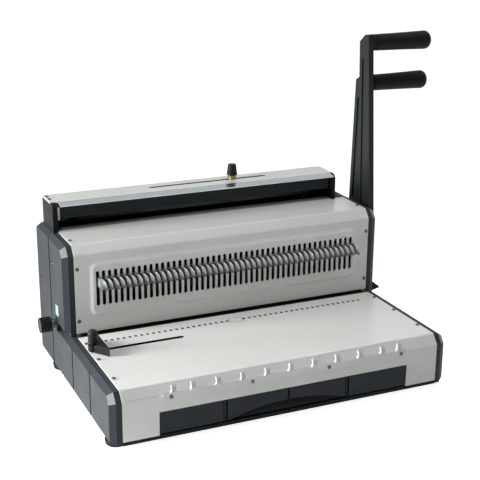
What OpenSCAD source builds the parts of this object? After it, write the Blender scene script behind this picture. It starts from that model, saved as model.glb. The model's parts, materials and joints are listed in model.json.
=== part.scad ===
// Desk machine that punches a row of holes and closes coil and wire bindings.
// X runs along the row of holes, Y from front to back, Z up from the desk.
// Inside place() the row's middle is X = 0 and the slotted panel's face is Y = 0.

/* [Covers] */
// Width of the light sheet covers
body_w = 338.8; // [336:0.2:350]
// Depth of the table in front of the slotted panel
table_d = 145.4; // [140:0.2:170]
// Depth of the housing behind the slotted panel
rear_d = 106; // [104:0.5:125]
// Height of the table above the underside of the covers
base_h = 49.7; // [49:0.1:60]
// Height of the slotted panel's upper bend above the table
panel_h = 85.8; // [84:0.2:95]
// Run of the sloped facets above the panel and at the table's front
facet_run = 7.9; // [6:0.1:12]
// Rise of the sloped facets above the panel and at the table's front
facet_rise = 9.4; // [7:0.1:12]
// Depth of the white deck behind the panel
deck_d = 59.5; // [57:0.1:59.5]
// Thickness of the cover sheet
sheet = 1.5; // [1:0.1:1.8]
// Height of the throat that takes the paper
throat = 2.2; // [1.6:0.1:3]
// Distance from the panel to the dark die behind the table
die_front = 5.5; // [4:0.1:8]
// Distance from the first and last hole to the raised field's ends
field_side = 7.7; // [5:0.05:9]
// Height of the raised field round the slots
field_h = 57.1; // [50:0.1:58]
// Corner radius of the raised field
field_r = 8; // [4:0.1:12]
// Width of the raised field's sloped edge
field_slope = 2.3; // [1.5:0.1:3]
// Rise of the raised field above the panel
field_rise = 1.9; // [0.6:0.1:2.2]

/* [Holes] */
// Least distance from the covers' ends to the first and last hole
hole_side = 22; // [21:0.5:26]
// Distance between holes, a quarter of an inch
pitch = 6.35; // [6.2:0.01:6.35]
// Diameter of a punched hole
hole_d = 4; // [3:0.1:4.2]
// Width of a slot in the panel
slot_w = 3.6; // [3:0.1:4]
// Length of a slot in the panel
slot_len = 37.3; // [36:0.1:40]
// Height of the slots' lower ends above the table
slot_up = 30.1; // [29:0.1:31]
// Distance from the panel's face to the row of punches
punch_y = 14; // [13.4:0.1:14.4]

/* [Side caps] */
// Width of the flat rim of a side cap
rim = 5.8; // [4:0.1:8]
// Width of the bevel outside the rim, along X
bevel_x = 5.8; // [4:0.1:8]
// Depth of the bevel round the outline
bevel_in = 3.8; // [3:0.1:6]
// How far the covers stand above the rim
rim_drop = 1; // [0.5:0.1:1.3]
// Wall thickness of a side cap
cap_wall = 3; // [2:0.1:3.6]
// Width of the lines down the side caps
line_w = 3; // [1:0.1:4]
// Depth of the lines down the side caps
line_deep = 1; // [0.4:0.1:1.4]

/* [Frame] */
// Thickness of the steel side frames
frame_t = 5; // [4:0.1:5]
// Height of the folded base pan
floor_t = 3.8; // [3:0.1:5]
// Height of the rubber feet
foot_h = 5.5; // [4:0.1:10]
// Diameter of the rubber feet
foot_d = 22; // [14:0.5:23]
// Diameter of the tie rods
tie_d = 8; // [6:0.1:10]

/* [Wire closer] */
// Height of the closer's cover above the deck
closer_h = 29.8; // [29:0.1:40]
// Distance from the panel to the bright lip in front of the cover
lip_y = 53; // [52:0.1:55]
// Distance from the panel to the closer's back wall
closer_back_y = 96; // [96:0.1:98]
// Depth of the lip's lower edge below the cover's top
lip_h = 3.1; // [2.8:0.1:4]
// Width of the dark deck beside the closer's right end
side_deck = 16.4; // [13:0.1:18]
// Height of the closing bar
jaw_h = 11.5; // [9:0.1:12]
// Height of the closing throat under the raised bar
jaw_gap = 12.3; // [11:0.1:13]
// Thickness of the closing bar
jaw_t = 5.5; // [4:0.1:6]
// Length of the size slot in the cover
size_slot_len = 135; // [100:1:160]
// Distance of the size slot's middle from the machine's middle
size_slot_x = 9.5; // [-10:0.5:20]
// Distance of the size knob from its slot's right end
size_rest = 39; // [10:1:60]
// Width of the size slot
size_slot_w = 4.4; // [4.2:0.1:5]

/* [Levers] */
// Height of both lever shafts above the table
shaft_up = 71.5; // [71:0.1:72]
// Distance from the panel to the punch lever's shaft
punch_shaft_y = 28.9; // [28.5:0.1:29.5]
// Distance from the panel to the binding lever's shaft
bind_shaft_y = 66.7; // [66:0.1:67]
// Diameter of the lever shafts
shaft_d = 12; // [10:0.1:12]
// Thickness of a lever bar
lever_t = 6.2; // [6:0.1:7]
// Distance from a lever's shaft to the bar's front edge
lever_front = 7.4; // [6:0.1:9]
// Distance from the punch lever's shaft to the bar's rear edge
punch_rear = 20; // [14:0.1:22]
// Distance from the line of the punch lever's shaft to the bar's rear edge at the grip
punch_rear_top = 12; // [10:0.1:16]
// Distance from the binding lever's shaft to the bar's rear edge
bind_rear = 15; // [12:0.1:18]
// Length of the punch lever from its shaft
punch_len = 212; // [190:1:230]
// Lean of the punch lever, backwards
punch_lean = 4.9; // [4:0.1:5]
// Length of the binding lever from its shaft
bind_len = 164; // [140:1:166]
// Lean of the binding lever, forwards
bind_lean = 2.4; // [1:0.1:2.6]
// Gap between the right cap and the punch lever
punch_gap = 2.3; // [1:0.1:2.4]
// Gap between the right cap and the binding lever
bind_gap = 9; // [9:0.1:12]
// Length of a grip
grip_len = 76.8; // [60:0.1:100]
// Diameter of a grip at the lever
grip_d = 18.3; // [15:0.1:22]
// Diameter of a grip at its end
grip_end_d = 20.8; // [16:0.1:26]
// Diameter of the steel stud inside a grip
stud_d = 8; // [6:0.1:10]

/* [Gears] */
// Gear module of the pinions and racks
gear_m = 1.5; // [1.5:0.1:1.5]
// Teeth of the punch pinions
punch_teeth = 12; // [12:1:12]
// Teeth of the hook pinions
hook_teeth = 24; // [24:1:24]
// Teeth of the closer pinions
jaw_teeth = 12; // [12:1:12]
// Width of a pinion and its rack
gear_w = 7; // [5:0.1:8]

/* [Hooks] */
// Height of a hook at its root
hook_h = 8.3; // [6:0.1:9]
// Height of the hooks' undersides above the table
hook_up = 52.5; // [51:0.1:54]
// Thickness of a hook
hook_t = 1.6; // [1.2:0.1:1.8]
// Bend radius of a hook
hook_r = 10; // [8:0.1:11]
// Sweep of a hook's bend
hook_sweep = 75; // [45:1:78]

/* [Table fittings] */
// Width of the apron beside the waste drawer
drawer_side = 35.8; // [30:0.2:50]
// Height of the waste drawer's front
drawer_h = 22; // [20:0.5:23]
// Height of the drawer front's lower edge above the drawer's underside
drawer_lift = 1.2; // [1:0.1:4]
// Thickness of the drawer's front
drawer_front_t = 12; // [10:0.5:14]
// Wall thickness of the drawer's tray
tray_wall = 2; // [1.5:0.1:3]
// Half width of the drawer's arched finger recess
arch_half = 63; // [40:1:66]
// Height of the drawer's arched finger recess
arch_h = 10; // [8:0.5:14]
// Distance between the wire pegs
peg_step = 25.4; // [25:0.1:26]
// Distance from the covers' ends to the outermost wire pegs
peg_side = 48.4; // [46:0.2:53]
// Width of a wire peg
peg_w = 4.6; // [2:0.1:6]
// Distance from the covers' left end to the paper guide's face at rest
guide_side = 14.8; // [14.4:0.1:20]
// Length of the paper guide's face
guide_len = 39.2; // [30:0.1:39.4]
// Height of the paper guide
guide_h = 8.8; // [6:0.1:12]
// Distance from the panel to the guide slot, forwards
guide_slot_y = 44; // [42:0.5:46]
// Travel of the paper guide along its slot
guide_travel = 93; // [60:1:110]
// Width of the guide slot
guide_slot_w = 5.2; // [4.8:0.1:6]
// Diameter of the guide's clamp knob
clamp_d = 10.2; // [9:0.1:13]
// Height of the guide's clamp knob
clamp_h = 16; // [12:0.1:22]

/* [Margin control] */
// Distance from the panel to the margin shaft
margin_y = 36; // [35.8:0.1:36.6]
// Height of the margin shaft above the table
margin_up = 2.7; // [1:0.1:3]
// Diameter of the margin shaft
margin_d = 8; // [6:0.1:9]
// Diameter of the margin knob
margin_knob_d = 16; // [14:0.1:22]
// Length of the margin knob
margin_knob_len = 11.7; // [10:0.1:18]
// Length of the brass collar behind the margin knob
collar_len = 6.3; // [4:0.1:8]
// Diameter of the margin cams
cam_d = 24; // [22:0.1:24]
// Offset of the margin cams
cam_off = 2; // [1:0.1:2]

/* [Fits] */
// Radial running clearance of shafts and slides
run = 0.05; // [0.02:0.01:0.1]
// Clearance between sliding flat faces
slide = 0.3; // [0.25:0.05:0.5]
// Clearance round parts that pass through covers
pass = 1; // [0.6:0.1:1.5]
// Radial clearance of bores pressed on a shaft
press = 0.01; // [0.01:0.005:0.02]
// Radial clearance of screw holes
screw_free = 0.2; // [0.1:0.05:0.4]

/* [Hidden] */
$fn = 48;
eps = 0.01;

// Main levels and outer faces
half_w = body_w / 2;
under_z = foot_h + floor_t;
table_z = under_z + base_h;
panel_z = table_z + throat;
panel_top = table_z + panel_h;
deck_z = panel_top + facet_rise;
cover_z = deck_z + closer_h;
cap_x = half_w + rim + bevel_x;
cap_top = deck_z - rim_drop;
cap_back = rear_d - rim_drop;
cap_rear_r = 4.5;
cap_low = 4;
cap_lines = [[54, deck_z], [-21.3, table_z], [-81.5, table_z]];
knob_groove_up = 3;
knob_groove_lip = 2;
knob_groove_wall = 8;
frame_in = half_w - frame_t;

// Row of holes
hole_n = 2 * floor((half_w - hole_side) / pitch) + 1;
row_half = (hole_n - 1) / 2 * pitch;
field_w = 2 * (row_half + field_side);
hole_xs = [for (i = [0:hole_n - 1]) i * pitch - row_half];

// Screws
screw_d = 2.2;
screw_head_d = 4;
screw_head_h = 1.1;
screw_len = 9;
screw_x = half_w - frame_t / 2 - 0.3;
panel_screw_z = [table_z + 15.3, table_z + 71.2];
top_screw_y = 22;
table_screw_y = [-23.8, -65, -112];
front_screw_mid = 1.8;
front_screw_step = (half_w - peg_side + 3) / 1.5;
front_screw_x = [for (i = [-1.5:1.5]) front_screw_mid + i * front_screw_step];
front_screw_z = table_z - facet_rise - 2.2;
cap_screw_at = [[44, deck_z - 29.7], [rear_d - 11, table_z + 31.8]];
cap_sink_d = 5.8;

// Die and punches
die_t = 12;
die_back = punch_y + 7;
guide_plate_t = 8.8;
guide_plate_front = punch_y - 7.5;
ram_z = table_z + 33;
ram_h = 16;
ram_front = punch_y - 5;
ram_back = ram_front + 9.4;
ram_half = frame_in - 6.8;
post_x = ram_half - 4.4;
post_d = 7;
pin_tip_z = panel_z + 1.3;
punch_rack_x = frame_in - 50.4;

// Shafts and gears
shaft_z = table_z + shaft_up;
add = 0.85 * gear_m;
ded = 1.25 * gear_m;
back = 0.5;
press_angle = 20;
punch_r = gear_m * punch_teeth / 2;
hook_pr = gear_m * hook_teeth / 2;
jaw_pr = gear_m * jaw_teeth / 2;
hook_rack_x = frame_in - 20.4;
jaw_rack_x = frame_in - 34.4;
rack_back = 3.2;
bush_d = shaft_d + 4;
bush_flange_d = shaft_d + 9;
bush_flange = 1.2;
punch_x = cap_x + punch_gap;
bind_x = cap_x + bind_gap;
lever_groove_w = 4;
lever_groove_deep = 1.4;
lever_groove_in = 8;
lever_groove_low = 18;
lever_groove_top = 26;
lever_chamfer_y = 12;
lever_chamfer_z = 7.5;
bolt_d = 11;
bolt_h = 3.5;
bolt_hex_d = 6;
bolt_hex_deep = 2;
punch_tail = 17.5;
bind_tail = 8;
grip_inset = 9;
grip_end_t = 8;
grip_round = 7;
stud_in = 5;

// Hooks
hook_plate_y = 3;
hook_plate_t = 2.5;
hook_plate_over = 0.6;
arm_z = table_z + 41;
arm_h = 20;
arm_t = 3.5;
arm_in = frame_in - 5.9;
hook_z = table_z + hook_up;
hook_rack_back = bind_shaft_y + hook_pr + ded + rack_back;

// Wire closer
jaw_z = deck_z + jaw_gap;
jaw_y = deck_d + 1;
gib_t = 2.4;
end_t = 5.6;
closer_left = -half_w - end_t;
closer_right = half_w - side_deck;
right_end_t = 3.5;
jaw_left = -half_w + gib_t + slide;
jaw_right = closer_right - gib_t - slide;
jaw_rack_back = bind_shaft_y + jaw_pr + ded + rack_back;
anvil_h = 3.6;
anvil_d = 12;
lip_run = 11;
lip_rise = 1.6;
lip_side = 2;
end_front = lip_y + 2;
end_r = 7;
notch_y = lip_y + lip_run;
gib_front = end_front + 0.8;
gib_top = cover_z - sheet - 2.5;
size_y = 81;
size_left = size_slot_x - size_slot_len / 2;
size_right = size_slot_x + size_slot_len / 2;
size_x = size_right - size_rest;
size_stud_d = size_slot_w - 0.8;
size_stud_in = 5;
slider_l = 18;
slider_d = 16;
slider_h = 9;
size_collar_d = 9;
size_collar_h = 4.8;
size_knob_d = 11.5;
size_knob_top_d = 8.6;
size_knob_h = 12;

// Drawer
drawer_w = body_w - 2 * drawer_side;
drawer_z = under_z + slide;
drawer_low = drawer_z + drawer_lift;
drawer_top = drawer_low + drawer_h;
arch_deep = 8;
arch_low_deep = 1.2;
tray_half = drawer_w / 2 - 3.6;
tray_h = 21;
seam_x = drawer_w / 4 - 0.8;
seam_w = 2.4;
seam_gap = 2.9;
seam_deep = 1.2;
tray_back = margin_y + 4;
runner_t = 3;
runner_h = 16;

// Pegs and guide
peg_strip_t = 1.2;
peg_strip_h = 7;
peg_strip_up = 2;
peg_strip_over = 10;
peg_t = 2.4;
peg_r = 4.8;
peg_y = -table_d - peg_strip_t / 2;
peg_z = table_z - facet_rise + 6.4;
peg_tip_angle = 110;
peg_end = half_w - peg_side;
peg_half_n = floor((peg_end - peg_step / 2) / peg_step);
peg_xs = concat([-peg_end], [for (i = [-peg_half_n:peg_half_n]) i * peg_step], [peg_end]);
guide_face_x = -half_w + guide_side;
guide_depth = 10.9;
guide_back_half = 5.5;
clamp_x = guide_face_x - guide_depth;
guide_slot_x = clamp_x + guide_travel;
clamp_boss_d = 10;
clamp_foot_d = 7;
clamp_stud_d = 4;
clamp_nut_d = 7;
clamp_nut_h = 3;
clamp_boss_h = 7;
clamp_lift = 1;

// Margin control
margin_z = table_z + margin_up;
margin_cam_w = 8;
margin_cam_step = frame_in * 0.49;
margin_cam_xs = [for (i = [-1.5:1.5]) i * margin_cam_step];
margin_collar_d = 12;
margin_shaft_in = 8;

// Side bracket
bracket_z = table_z - 1.5;
bracket_t = 1.5;
bracket_out = 10;
bracket_len = 62;
bracket_y = bevel_in + rim_drop + 0.6;
bracket_up = 9;
bracket_down = 2.5;
bracket_flange = 3;

// Corners of the whole part, which set the origin under its middle
part_left = -cap_x - collar_len - margin_knob_len;
part_right = max(punch_x, bind_x) + lever_t + grip_len;
part_front = peg_y - peg_r;
part_back = rear_d;
origin = [(part_left + part_right) / 2, (part_front + part_back) / 2, 0];

white = [0.86, 0.86, 0.83];
charcoal = [0.24, 0.25, 0.27];
black = [0.1, 0.1, 0.11];
slate = [0.2, 0.22, 0.25];
steel = [0.68, 0.69, 0.71];
dark_steel = [0.34, 0.35, 0.37];
brass = [0.72, 0.58, 0.32];
bronze = [0.6, 0.44, 0.26];

module place() {
    translate(-origin) children();
}

// Profile in Y and Z, drawn out along X
module along_x(x0, w) {
    translate([x0, 0, 0]) rotate([90, 0, 90]) linear_extrude(w) children();
}

// Profile in X and Z, drawn out along Y
module along_y(y0, t) {
    translate([0, y0 + t, 0]) rotate([90, 0, 0]) linear_extrude(t) children();
}

module rod_x(x0, len, y, z, d) {
    translate([x0, y, z]) rotate([0, 90, 0]) cylinder(h = len, d = d);
}

module block(x0, x1, y0, y1, z0, z1) {
    translate([x0, y0, z0]) cube([x1 - x0, y1 - y0, z1 - z0]);
}

module both_sides() {
    children();
    mirror([1, 0, 0]) children();
}

module round_rect(w, h, r) {
    square([w - 2 * r, h], center = true);
    square([w, h - 2 * r], center = true);
    for (x = [-1, 1], y = [-1, 1]) translate([x * (w / 2 - r), y * (h / 2 - r)]) circle(r);
}

// Upright slot with round ends
module slot_2d(w, len) {
    translate([-w / 2, w / 2]) square([w, len - w]);
    translate([0, w / 2]) circle(d = w);
    translate([0, len - w / 2]) circle(d = w);
}

module slot_row() {
    for (x = hole_xs) translate([x, table_z + slot_up]) slot_2d(slot_w, slot_len);
}

// Screw with its head's underside at the origin and its shank along -Z
module screw(len = screw_len) {
    cylinder(h = screw_head_h, d = screw_head_d);
    translate([0, 0, -len]) cylinder(h = len, d = screw_d);
}

// Teeth of a pinion, with one tooth on the +X side
module pinion_2d(n) {
    r = gear_m * n / 2;
    half = (PI * gear_m / 2 - back) / 2;
    tip = half - add * tan(press_angle);
    root = half + ded * tan(press_angle);
    function at(rad, off, a) = [rad * cos(a) - off * sin(a), rad * sin(a) + off * cos(a)];
    polygon([for (i = [0:n - 1], p = [[r - ded, -root], [r + add, -tip], [r + add, tip], [r - ded, root]])
        at(p[0], p[1], 360 * i / n)]);
}

// Rack with teeth towards -X, a gap at height 0 and its pitch line at X = 0
module rack_2d(below, above, body) {
    step = PI * gear_m;
    half = (step / 2 - back) / 2;
    tip = half - add * tan(press_angle);
    root = half + ded * tan(press_angle);
    first = floor(-below / step);
    last = floor(above / step) - 1;
    translate([ded, -below]) square([body, below + above]);
    for (i = [first + 1:last]) translate([0, (i + 0.5) * step])
        polygon([[ded + eps, -root], [-add, -tip], [-add, tip], [ded + eps, root]]);
}

// Outline of the low and the high part of the side, grown outwards by g but at the back
function side_low(g) = foot_h - (rim_drop + g) / bevel_in * cap_low;
function low_side(g) = [[-table_d - g, side_low(g)], [-table_d - g, table_z - facet_rise + g / 2],
    [-table_d + facet_run - g / 2, table_z + g], [cap_back, table_z + g], [cap_back, side_low(g)]];
function high_side(g) = concat([[-g, side_low(g)], [-g, panel_top + g / 2], [facet_run - g / 2, deck_z + g]],
    [for (a = [90:-15:0]) [cap_back - cap_rear_r * (1 - cos(a)), deck_z + g - cap_rear_r * (1 - sin(a))]],
    [[cap_back, side_low(g)]]);

module cap_half(outline, x0) {
    hull() {
        along_x(x0, rim) polygon(outline == "low" ? low_side(-rim_drop) : high_side(-rim_drop));
        along_x(x0, rim + bevel_x) polygon(outline == "low" ? low_side(-rim_drop - bevel_in)
            : high_side(-rim_drop - bevel_in));
    }
}

// Side cap on the +X side, with a solid land where the groove of the margin knob runs
module cap_shell(land) {
    hollow = -rim_drop - cap_wall - bevel_in / 2;
    difference() {
        union() {
            cap_half("low", half_w);
            cap_half("high", half_w);
        }
        along_x(half_w - eps, rim + bevel_x - cap_wall) {
            intersection() {
                polygon(low_side(hollow));
                translate([-table_d, under_z + cap_wall]) square([table_d + cap_back - cap_wall, base_h]);
            }
            intersection() {
                polygon(high_side(hollow));
                difference() {
                    translate([0, under_z + cap_wall]) square([cap_back - cap_wall, deck_z]);
                    if (land) translate([0, table_z - knob_groove_wall])
                        square([margin_y + knob_groove_wall, 2 * knob_groove_wall]);
                }
            }
        }
        for (p = cap_lines) cap_line(p[0], p[1]);
        for (p = cap_screw_at) {
            rod_x(half_w, rim + bevel_x, p[0], p[1], screw_d + 2 * screw_free);
            rod_x(cap_x - line_deep, rim, p[0], p[1], cap_sink_d);
        }
    }
    for (p = cap_screw_at) difference() {
        rod_x(half_w, rim + bevel_x - cap_wall, p[0], p[1], cap_sink_d);
        rod_x(half_w - eps, rim + bevel_x, p[0], p[1], screw_d + 2 * screw_free);
    }
}

module cap_line(y, top) {
    block(cap_x - line_deep, cap_x + eps, y - line_w / 2, y + line_w / 2, foot_h - eps, top);
}

module shaft_pair_holes(x0, len, d) {
    rod_x(x0, len, punch_shaft_y, shaft_z, d);
    rod_x(x0, len, bind_shaft_y, shaft_z, d);
}

// Groove that carries the low bevel on to the margin knob
module knob_groove() {
    low = table_z - rim_drop;
    high = table_z + knob_groove_up;
    along_y(0, margin_y) polygon([[cap_x + eps, low - bevel_in], [half_w + rim, low], [half_w + rim, high],
        [cap_x + eps, high + knob_groove_lip]]);
}

module left_cap() {
    color(charcoal) difference() {
        mirror([1, 0, 0]) difference() {
            cap_shell(true);
            knob_groove();
        }
        rod_x(-cap_x - eps, rim + bevel_x + 2 * eps, margin_y, margin_z, margin_d + 2 * pass);
    }
}

module right_cap() {
    color(charcoal) difference() {
        cap_shell(false);
        shaft_pair_holes(half_w - eps, rim + bevel_x + 2 * eps, shaft_d + 2 * pass);
    }
}

// Steel side frame on the +X side, before its bores
module frame_plate() {
    difference() {
        along_x(frame_in, frame_t) polygon([[-table_d + sheet, under_z],
            [-table_d + sheet, table_z - facet_rise - sheet],
            [-table_d + facet_run + sheet, table_z - sheet], [sheet, table_z - sheet],
            [sheet, panel_top - sheet], [facet_run + sheet / 2, deck_z - sheet],
            [rear_d - sheet, deck_z - sheet], [rear_d - sheet, under_z]]);
        shaft_pair_holes(frame_in - eps, frame_t + 2 * eps, bush_d);
        rod_x(frame_in - eps, frame_t + 2 * eps, margin_y, margin_z, margin_d + 2 * run);
        for (p = tie_at) rod_x(frame_in - eps, frame_t + 2 * eps, p[0], p[1], tie_d);
        for (p = cap_screw_at) rod_x(frame_in - eps, frame_t + 2 * eps, p[0], p[1], screw_d);
        for (z = panel_screw_z) translate([screw_x, sheet, z]) rotate([-90, 0, 0])
            cylinder(h = screw_len, d = screw_d);
        translate([screw_x, top_screw_y, deck_z - sheet - screw_len])
            cylinder(h = screw_len + 1, d = screw_d);
        for (y = table_screw_y) translate([screw_x, y, table_z - sheet - screw_len])
            cylinder(h = screw_len + 1, d = screw_d);
    }
}

tie_at = [[rear_d - 8, under_z + 22.2], [rear_d - 8, deck_z - 14], [-table_d + 22, table_z - 11]];
clamp_notch_w = 16;
clamp_notch_h = 9;

module left_frame() {
    color(dark_steel) difference() {
        mirror([1, 0, 0]) frame_plate();
        block(-half_w - 1, -frame_in + 1, -guide_slot_y - clamp_notch_w / 2,
            -guide_slot_y + clamp_notch_w / 2, table_z - sheet - clamp_notch_h, table_z);
    }
}

module right_frame() {
    color(dark_steel) frame_plate();
}

module tie_rods() {
    color(steel) for (p = tie_at) rod_x(-half_w, body_w, p[0], p[1], tie_d);
}

module base_plate() {
    color(black) difference() {
        block(-half_w, half_w, -table_d, rear_d, foot_h, under_z);
        block(-half_w + sheet, half_w - sheet, -table_d + sheet, rear_d - sheet, foot_h - 1,
            under_z - sheet);
    }
}

feet_at = [[half_w + 0.6, -table_d + 19.9], [half_w + 0.6, rear_d - 46]];

module feet() {
    color(black) both_sides() for (p = feet_at) translate([p[0], p[1], 0]) difference() {
        cylinder(h = foot_h, d1 = foot_d - 2, d2 = foot_d);
        translate([0, 0, -eps]) cylinder(h = foot_h / 3, d = foot_d / 3);
    }
}

// Bent sheet of the table and its front apron
module table_profile() {
    polygon([[-table_d, under_z], [-table_d, table_z - facet_rise], [-table_d + facet_run, table_z],
        [-die_front, table_z], [-die_front, table_z - sheet],
        [-table_d + facet_run + sheet / 2, table_z - sheet],
        [-table_d + sheet, table_z - facet_rise - sheet / 4], [-table_d + sheet, under_z]]);
}

module table_cover() {
    color(white) difference() {
        along_x(-half_w, body_w) table_profile();
        block(-drawer_w / 2 - slide, drawer_w / 2 + slide, -table_d - 1, -table_d + sheet + 1,
            under_z - 1, drawer_top + slide);
        translate([0, -guide_slot_y, table_z - sheet - 1]) linear_extrude(sheet + 2) {
            translate([clamp_x, -guide_slot_w / 2]) square([guide_slot_x - clamp_x, guide_slot_w]);
            translate([clamp_x, 0]) circle(d = guide_slot_w);
            translate([guide_slot_x, 0]) circle(d = guide_slot_w);
        }
        both_sides() for (y = table_screw_y) translate([screw_x, y, table_z - sheet - 1])
            cylinder(h = sheet + 2, d = screw_d + 2 * screw_free);
        for (x = front_screw_x) translate([x, -table_d - 1, front_screw_z]) rotate([-90, 0, 0])
            cylinder(h = sheet + 2, d = screw_d);
    }
}

field_z = table_z + slot_up + slot_len / 2 - 0.9;

// Raised field with a sloped edge and round corners
module raised_field() {
    half_x = field_w / 2;
    half_z = field_h / 2;
    translate([0, 0, field_z]) {
        along_x(field_r - half_x, field_w - 2 * field_r) polygon([[0, -half_z],
            [-field_rise, field_slope - half_z], [-field_rise, half_z - field_slope], [0, half_z]]);
        translate([0, 0, field_r - half_z]) linear_extrude(field_h - 2 * field_r) polygon([[-half_x, 0],
            [field_slope - half_x, -field_rise], [half_x - field_slope, -field_rise], [half_x, 0]]);
        for (x = [-1, 1], z = [-1, 1]) translate([x * (half_x - field_r), 0, z * (half_z - field_r)])
            rotate([90, 0, 0]) cylinder(h = field_rise, r1 = field_r, r2 = field_r - field_slope);
    }
}

module front_cover() {
    color(white) difference() {
        union() {
            along_x(-half_w, body_w) polygon([[0, panel_z], [0, panel_top], [facet_run, deck_z],
                [deck_d, deck_z], [deck_d, deck_z - sheet], [facet_run + sheet / 2, deck_z - sheet],
                [sheet, panel_top - sheet / 4], [sheet, panel_z]]);
            raised_field();
        }
        along_y(-field_rise - 1, sheet + 3) slot_row();
        along_y(sheet - field_rise, field_rise + 1) translate([0, field_z])
            round_rect(field_w - 2 * field_slope, field_h - 2 * field_slope, field_r - field_slope);
        both_sides() {
            for (z = panel_screw_z) translate([screw_x, -1, z]) rotate([-90, 0, 0])
                cylinder(h = sheet + 2, d = screw_d + 2 * screw_free);
            translate([screw_x, top_screw_y, deck_z - sheet - 1])
                cylinder(h = sheet + 2, d = screw_d + 2 * screw_free);
        }
    }
}

// Back wall and deck behind and beside the wire closer
module rear_cover() {
    color(charcoal) {
        block(-half_w, half_w, rear_d - sheet, rear_d, under_z, deck_z);
        block(-half_w, half_w, closer_back_y, rear_d - sheet, deck_z - sheet, deck_z);
        block(closer_right + right_end_t, half_w, deck_d, closer_back_y, deck_z - sheet, deck_z);
    }
}

module die_block() {
    color(dark_steel) difference() {
        block(-frame_in, frame_in, -die_front, die_back, table_z - die_t, table_z);
        for (x = hole_xs) translate([x, punch_y, table_z - die_t - 1])
            cylinder(h = die_t + 2, d = hole_d + 2 * run);
    }
}

module punch_guide_plate() {
    color(dark_steel) difference() {
        block(-frame_in, frame_in, guide_plate_front, die_back, panel_z, panel_z + guide_plate_t);
        for (x = hole_xs) translate([x, punch_y, panel_z - 1])
            cylinder(h = guide_plate_t + 2, d = hole_d + 2 * run);
        both_sides() translate([post_x, punch_y, panel_z - 1]) cylinder(h = guide_plate_t + 2, d = post_d);
    }
}

module throat_spacers() {
    color(steel) both_sides() block(frame_in - 8, frame_in, guide_plate_front, die_back, table_z, panel_z);
}

post_over = 14;
post_top = ram_z + ram_h + post_over;

module guide_posts() {
    color(steel) both_sides() translate([post_x, punch_y, panel_z])
        cylinder(h = post_top - panel_z, d = post_d);
}

module punch_ram() {
    up = deck_z - sheet - 1 - shaft_z;
    color(dark_steel) difference() {
        union() {
            block(-ram_half, ram_half, ram_front, ram_back, ram_z, ram_z + ram_h);
            both_sides() {
                block(punch_rack_x - gear_w / 2, punch_rack_x + gear_w / 2, ram_front, ram_back - 2.4,
                    ram_z + ram_h - eps, shaft_z + up);
                translate([0, punch_shaft_y - punch_r, shaft_z]) along_x(punch_rack_x - gear_w / 2, gear_w)
                    mirror([1, 0]) rack_2d(12, up, rack_back);
            }
        }
        both_sides() translate([post_x, punch_y, ram_z - 1]) cylinder(h = ram_h + 2, d = post_d + 2 * run);
    }
}

module punch_pins() {
    color(steel) for (x = hole_xs) translate([x, punch_y, pin_tip_z])
        cylinder(h = ram_z - pin_tip_z, d = hole_d);
}

module pinion(x, w, n, turn) {
    translate([x - w / 2, 0, 0]) rotate([90, 0, 90]) linear_extrude(w) rotate(turn) pinion_2d(n);
}

module bored_pinion(x, n, turn, y) {
    difference() {
        translate([0, y, shaft_z]) pinion(x, gear_w + 1, n, turn);
        rod_x(x - gear_w, 2 * gear_w, y, shaft_z, shaft_d + 2 * press);
    }
}

module punch_shaft() {
    color(steel) rod_x(-half_w, half_w + punch_x + lever_t - bolt_h, punch_shaft_y, shaft_z, shaft_d);
}

module punch_pinions() {
    color(bronze) both_sides() bored_pinion(punch_rack_x, punch_teeth, 180, punch_shaft_y);
}

module bind_shaft() {
    color(steel) rod_x(-half_w, half_w + bind_x + lever_t - bolt_h, bind_shaft_y, shaft_z, shaft_d);
}

module bind_pinions() {
    color(bronze) both_sides() {
        bored_pinion(hook_rack_x, hook_teeth, 0, bind_shaft_y);
        bored_pinion(jaw_rack_x, jaw_teeth, 0, bind_shaft_y);
    }
}

// Bushes that carry both lever shafts in the side frames
module shaft_bushes() {
    color(bronze) both_sides() for (y = [punch_shaft_y, bind_shaft_y]) difference() {
        union() {
            rod_x(frame_in, frame_t, y, shaft_z, bush_d);
            rod_x(frame_in - bush_flange, bush_flange, y, shaft_z, bush_flange_d);
        }
        rod_x(frame_in - 5, frame_t + 10, y, shaft_z, shaft_d + 2 * run);
    }
}

// Lever bar in its own plane, with its shaft at the origin and its top along +Y
module lever_2d(len, tail, rear, rear_top) {
    translate([0, -tail]) circle(lever_front);
    polygon([[-lever_front, -tail], [-lever_front, len], [rear_top - lever_chamfer_y, len],
        [rear_top, len - lever_chamfer_z], [rear, 0], [lever_front, -tail]]);
}

// Groove along a lever's rear edge
module lever_groove_2d(len, rear, rear_top) {
    taper = (rear - rear_top) / len;
    translate([rear - taper * lever_groove_low - lever_groove_in, lever_groove_low]) rotate(atan(taper))
        slot_2d(lever_groove_w, len - lever_groove_low - lever_groove_top);
}

module lever(x0, y, len, lean, tail, rear, rear_top) {
    translate([x0, y, shaft_z]) rotate([-lean, 0, 0]) difference() {
        along_x(0, lever_t) lever_2d(len, tail, rear, rear_top);
        rod_x(lever_t - stud_in, stud_in + 1, 0, len - grip_inset, stud_d);
        rod_x(-1, lever_t + 2, 0, 0, shaft_d + 2 * press);
        along_x(-eps, lever_groove_deep) lever_groove_2d(len, rear, rear_top);
        along_x(lever_t - lever_groove_deep, lever_groove_deep + eps) lever_groove_2d(len, rear, rear_top);
    }
}

// Steel stud that joins a grip to its lever
module grip_stud(x0, y, len, lean) {
    translate([x0, y, shaft_z]) rotate([-lean, 0, 0])
        rod_x(lever_t - stud_in, stud_in + grip_len - grip_end_t, 0, len - grip_inset, stud_d);
}

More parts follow.
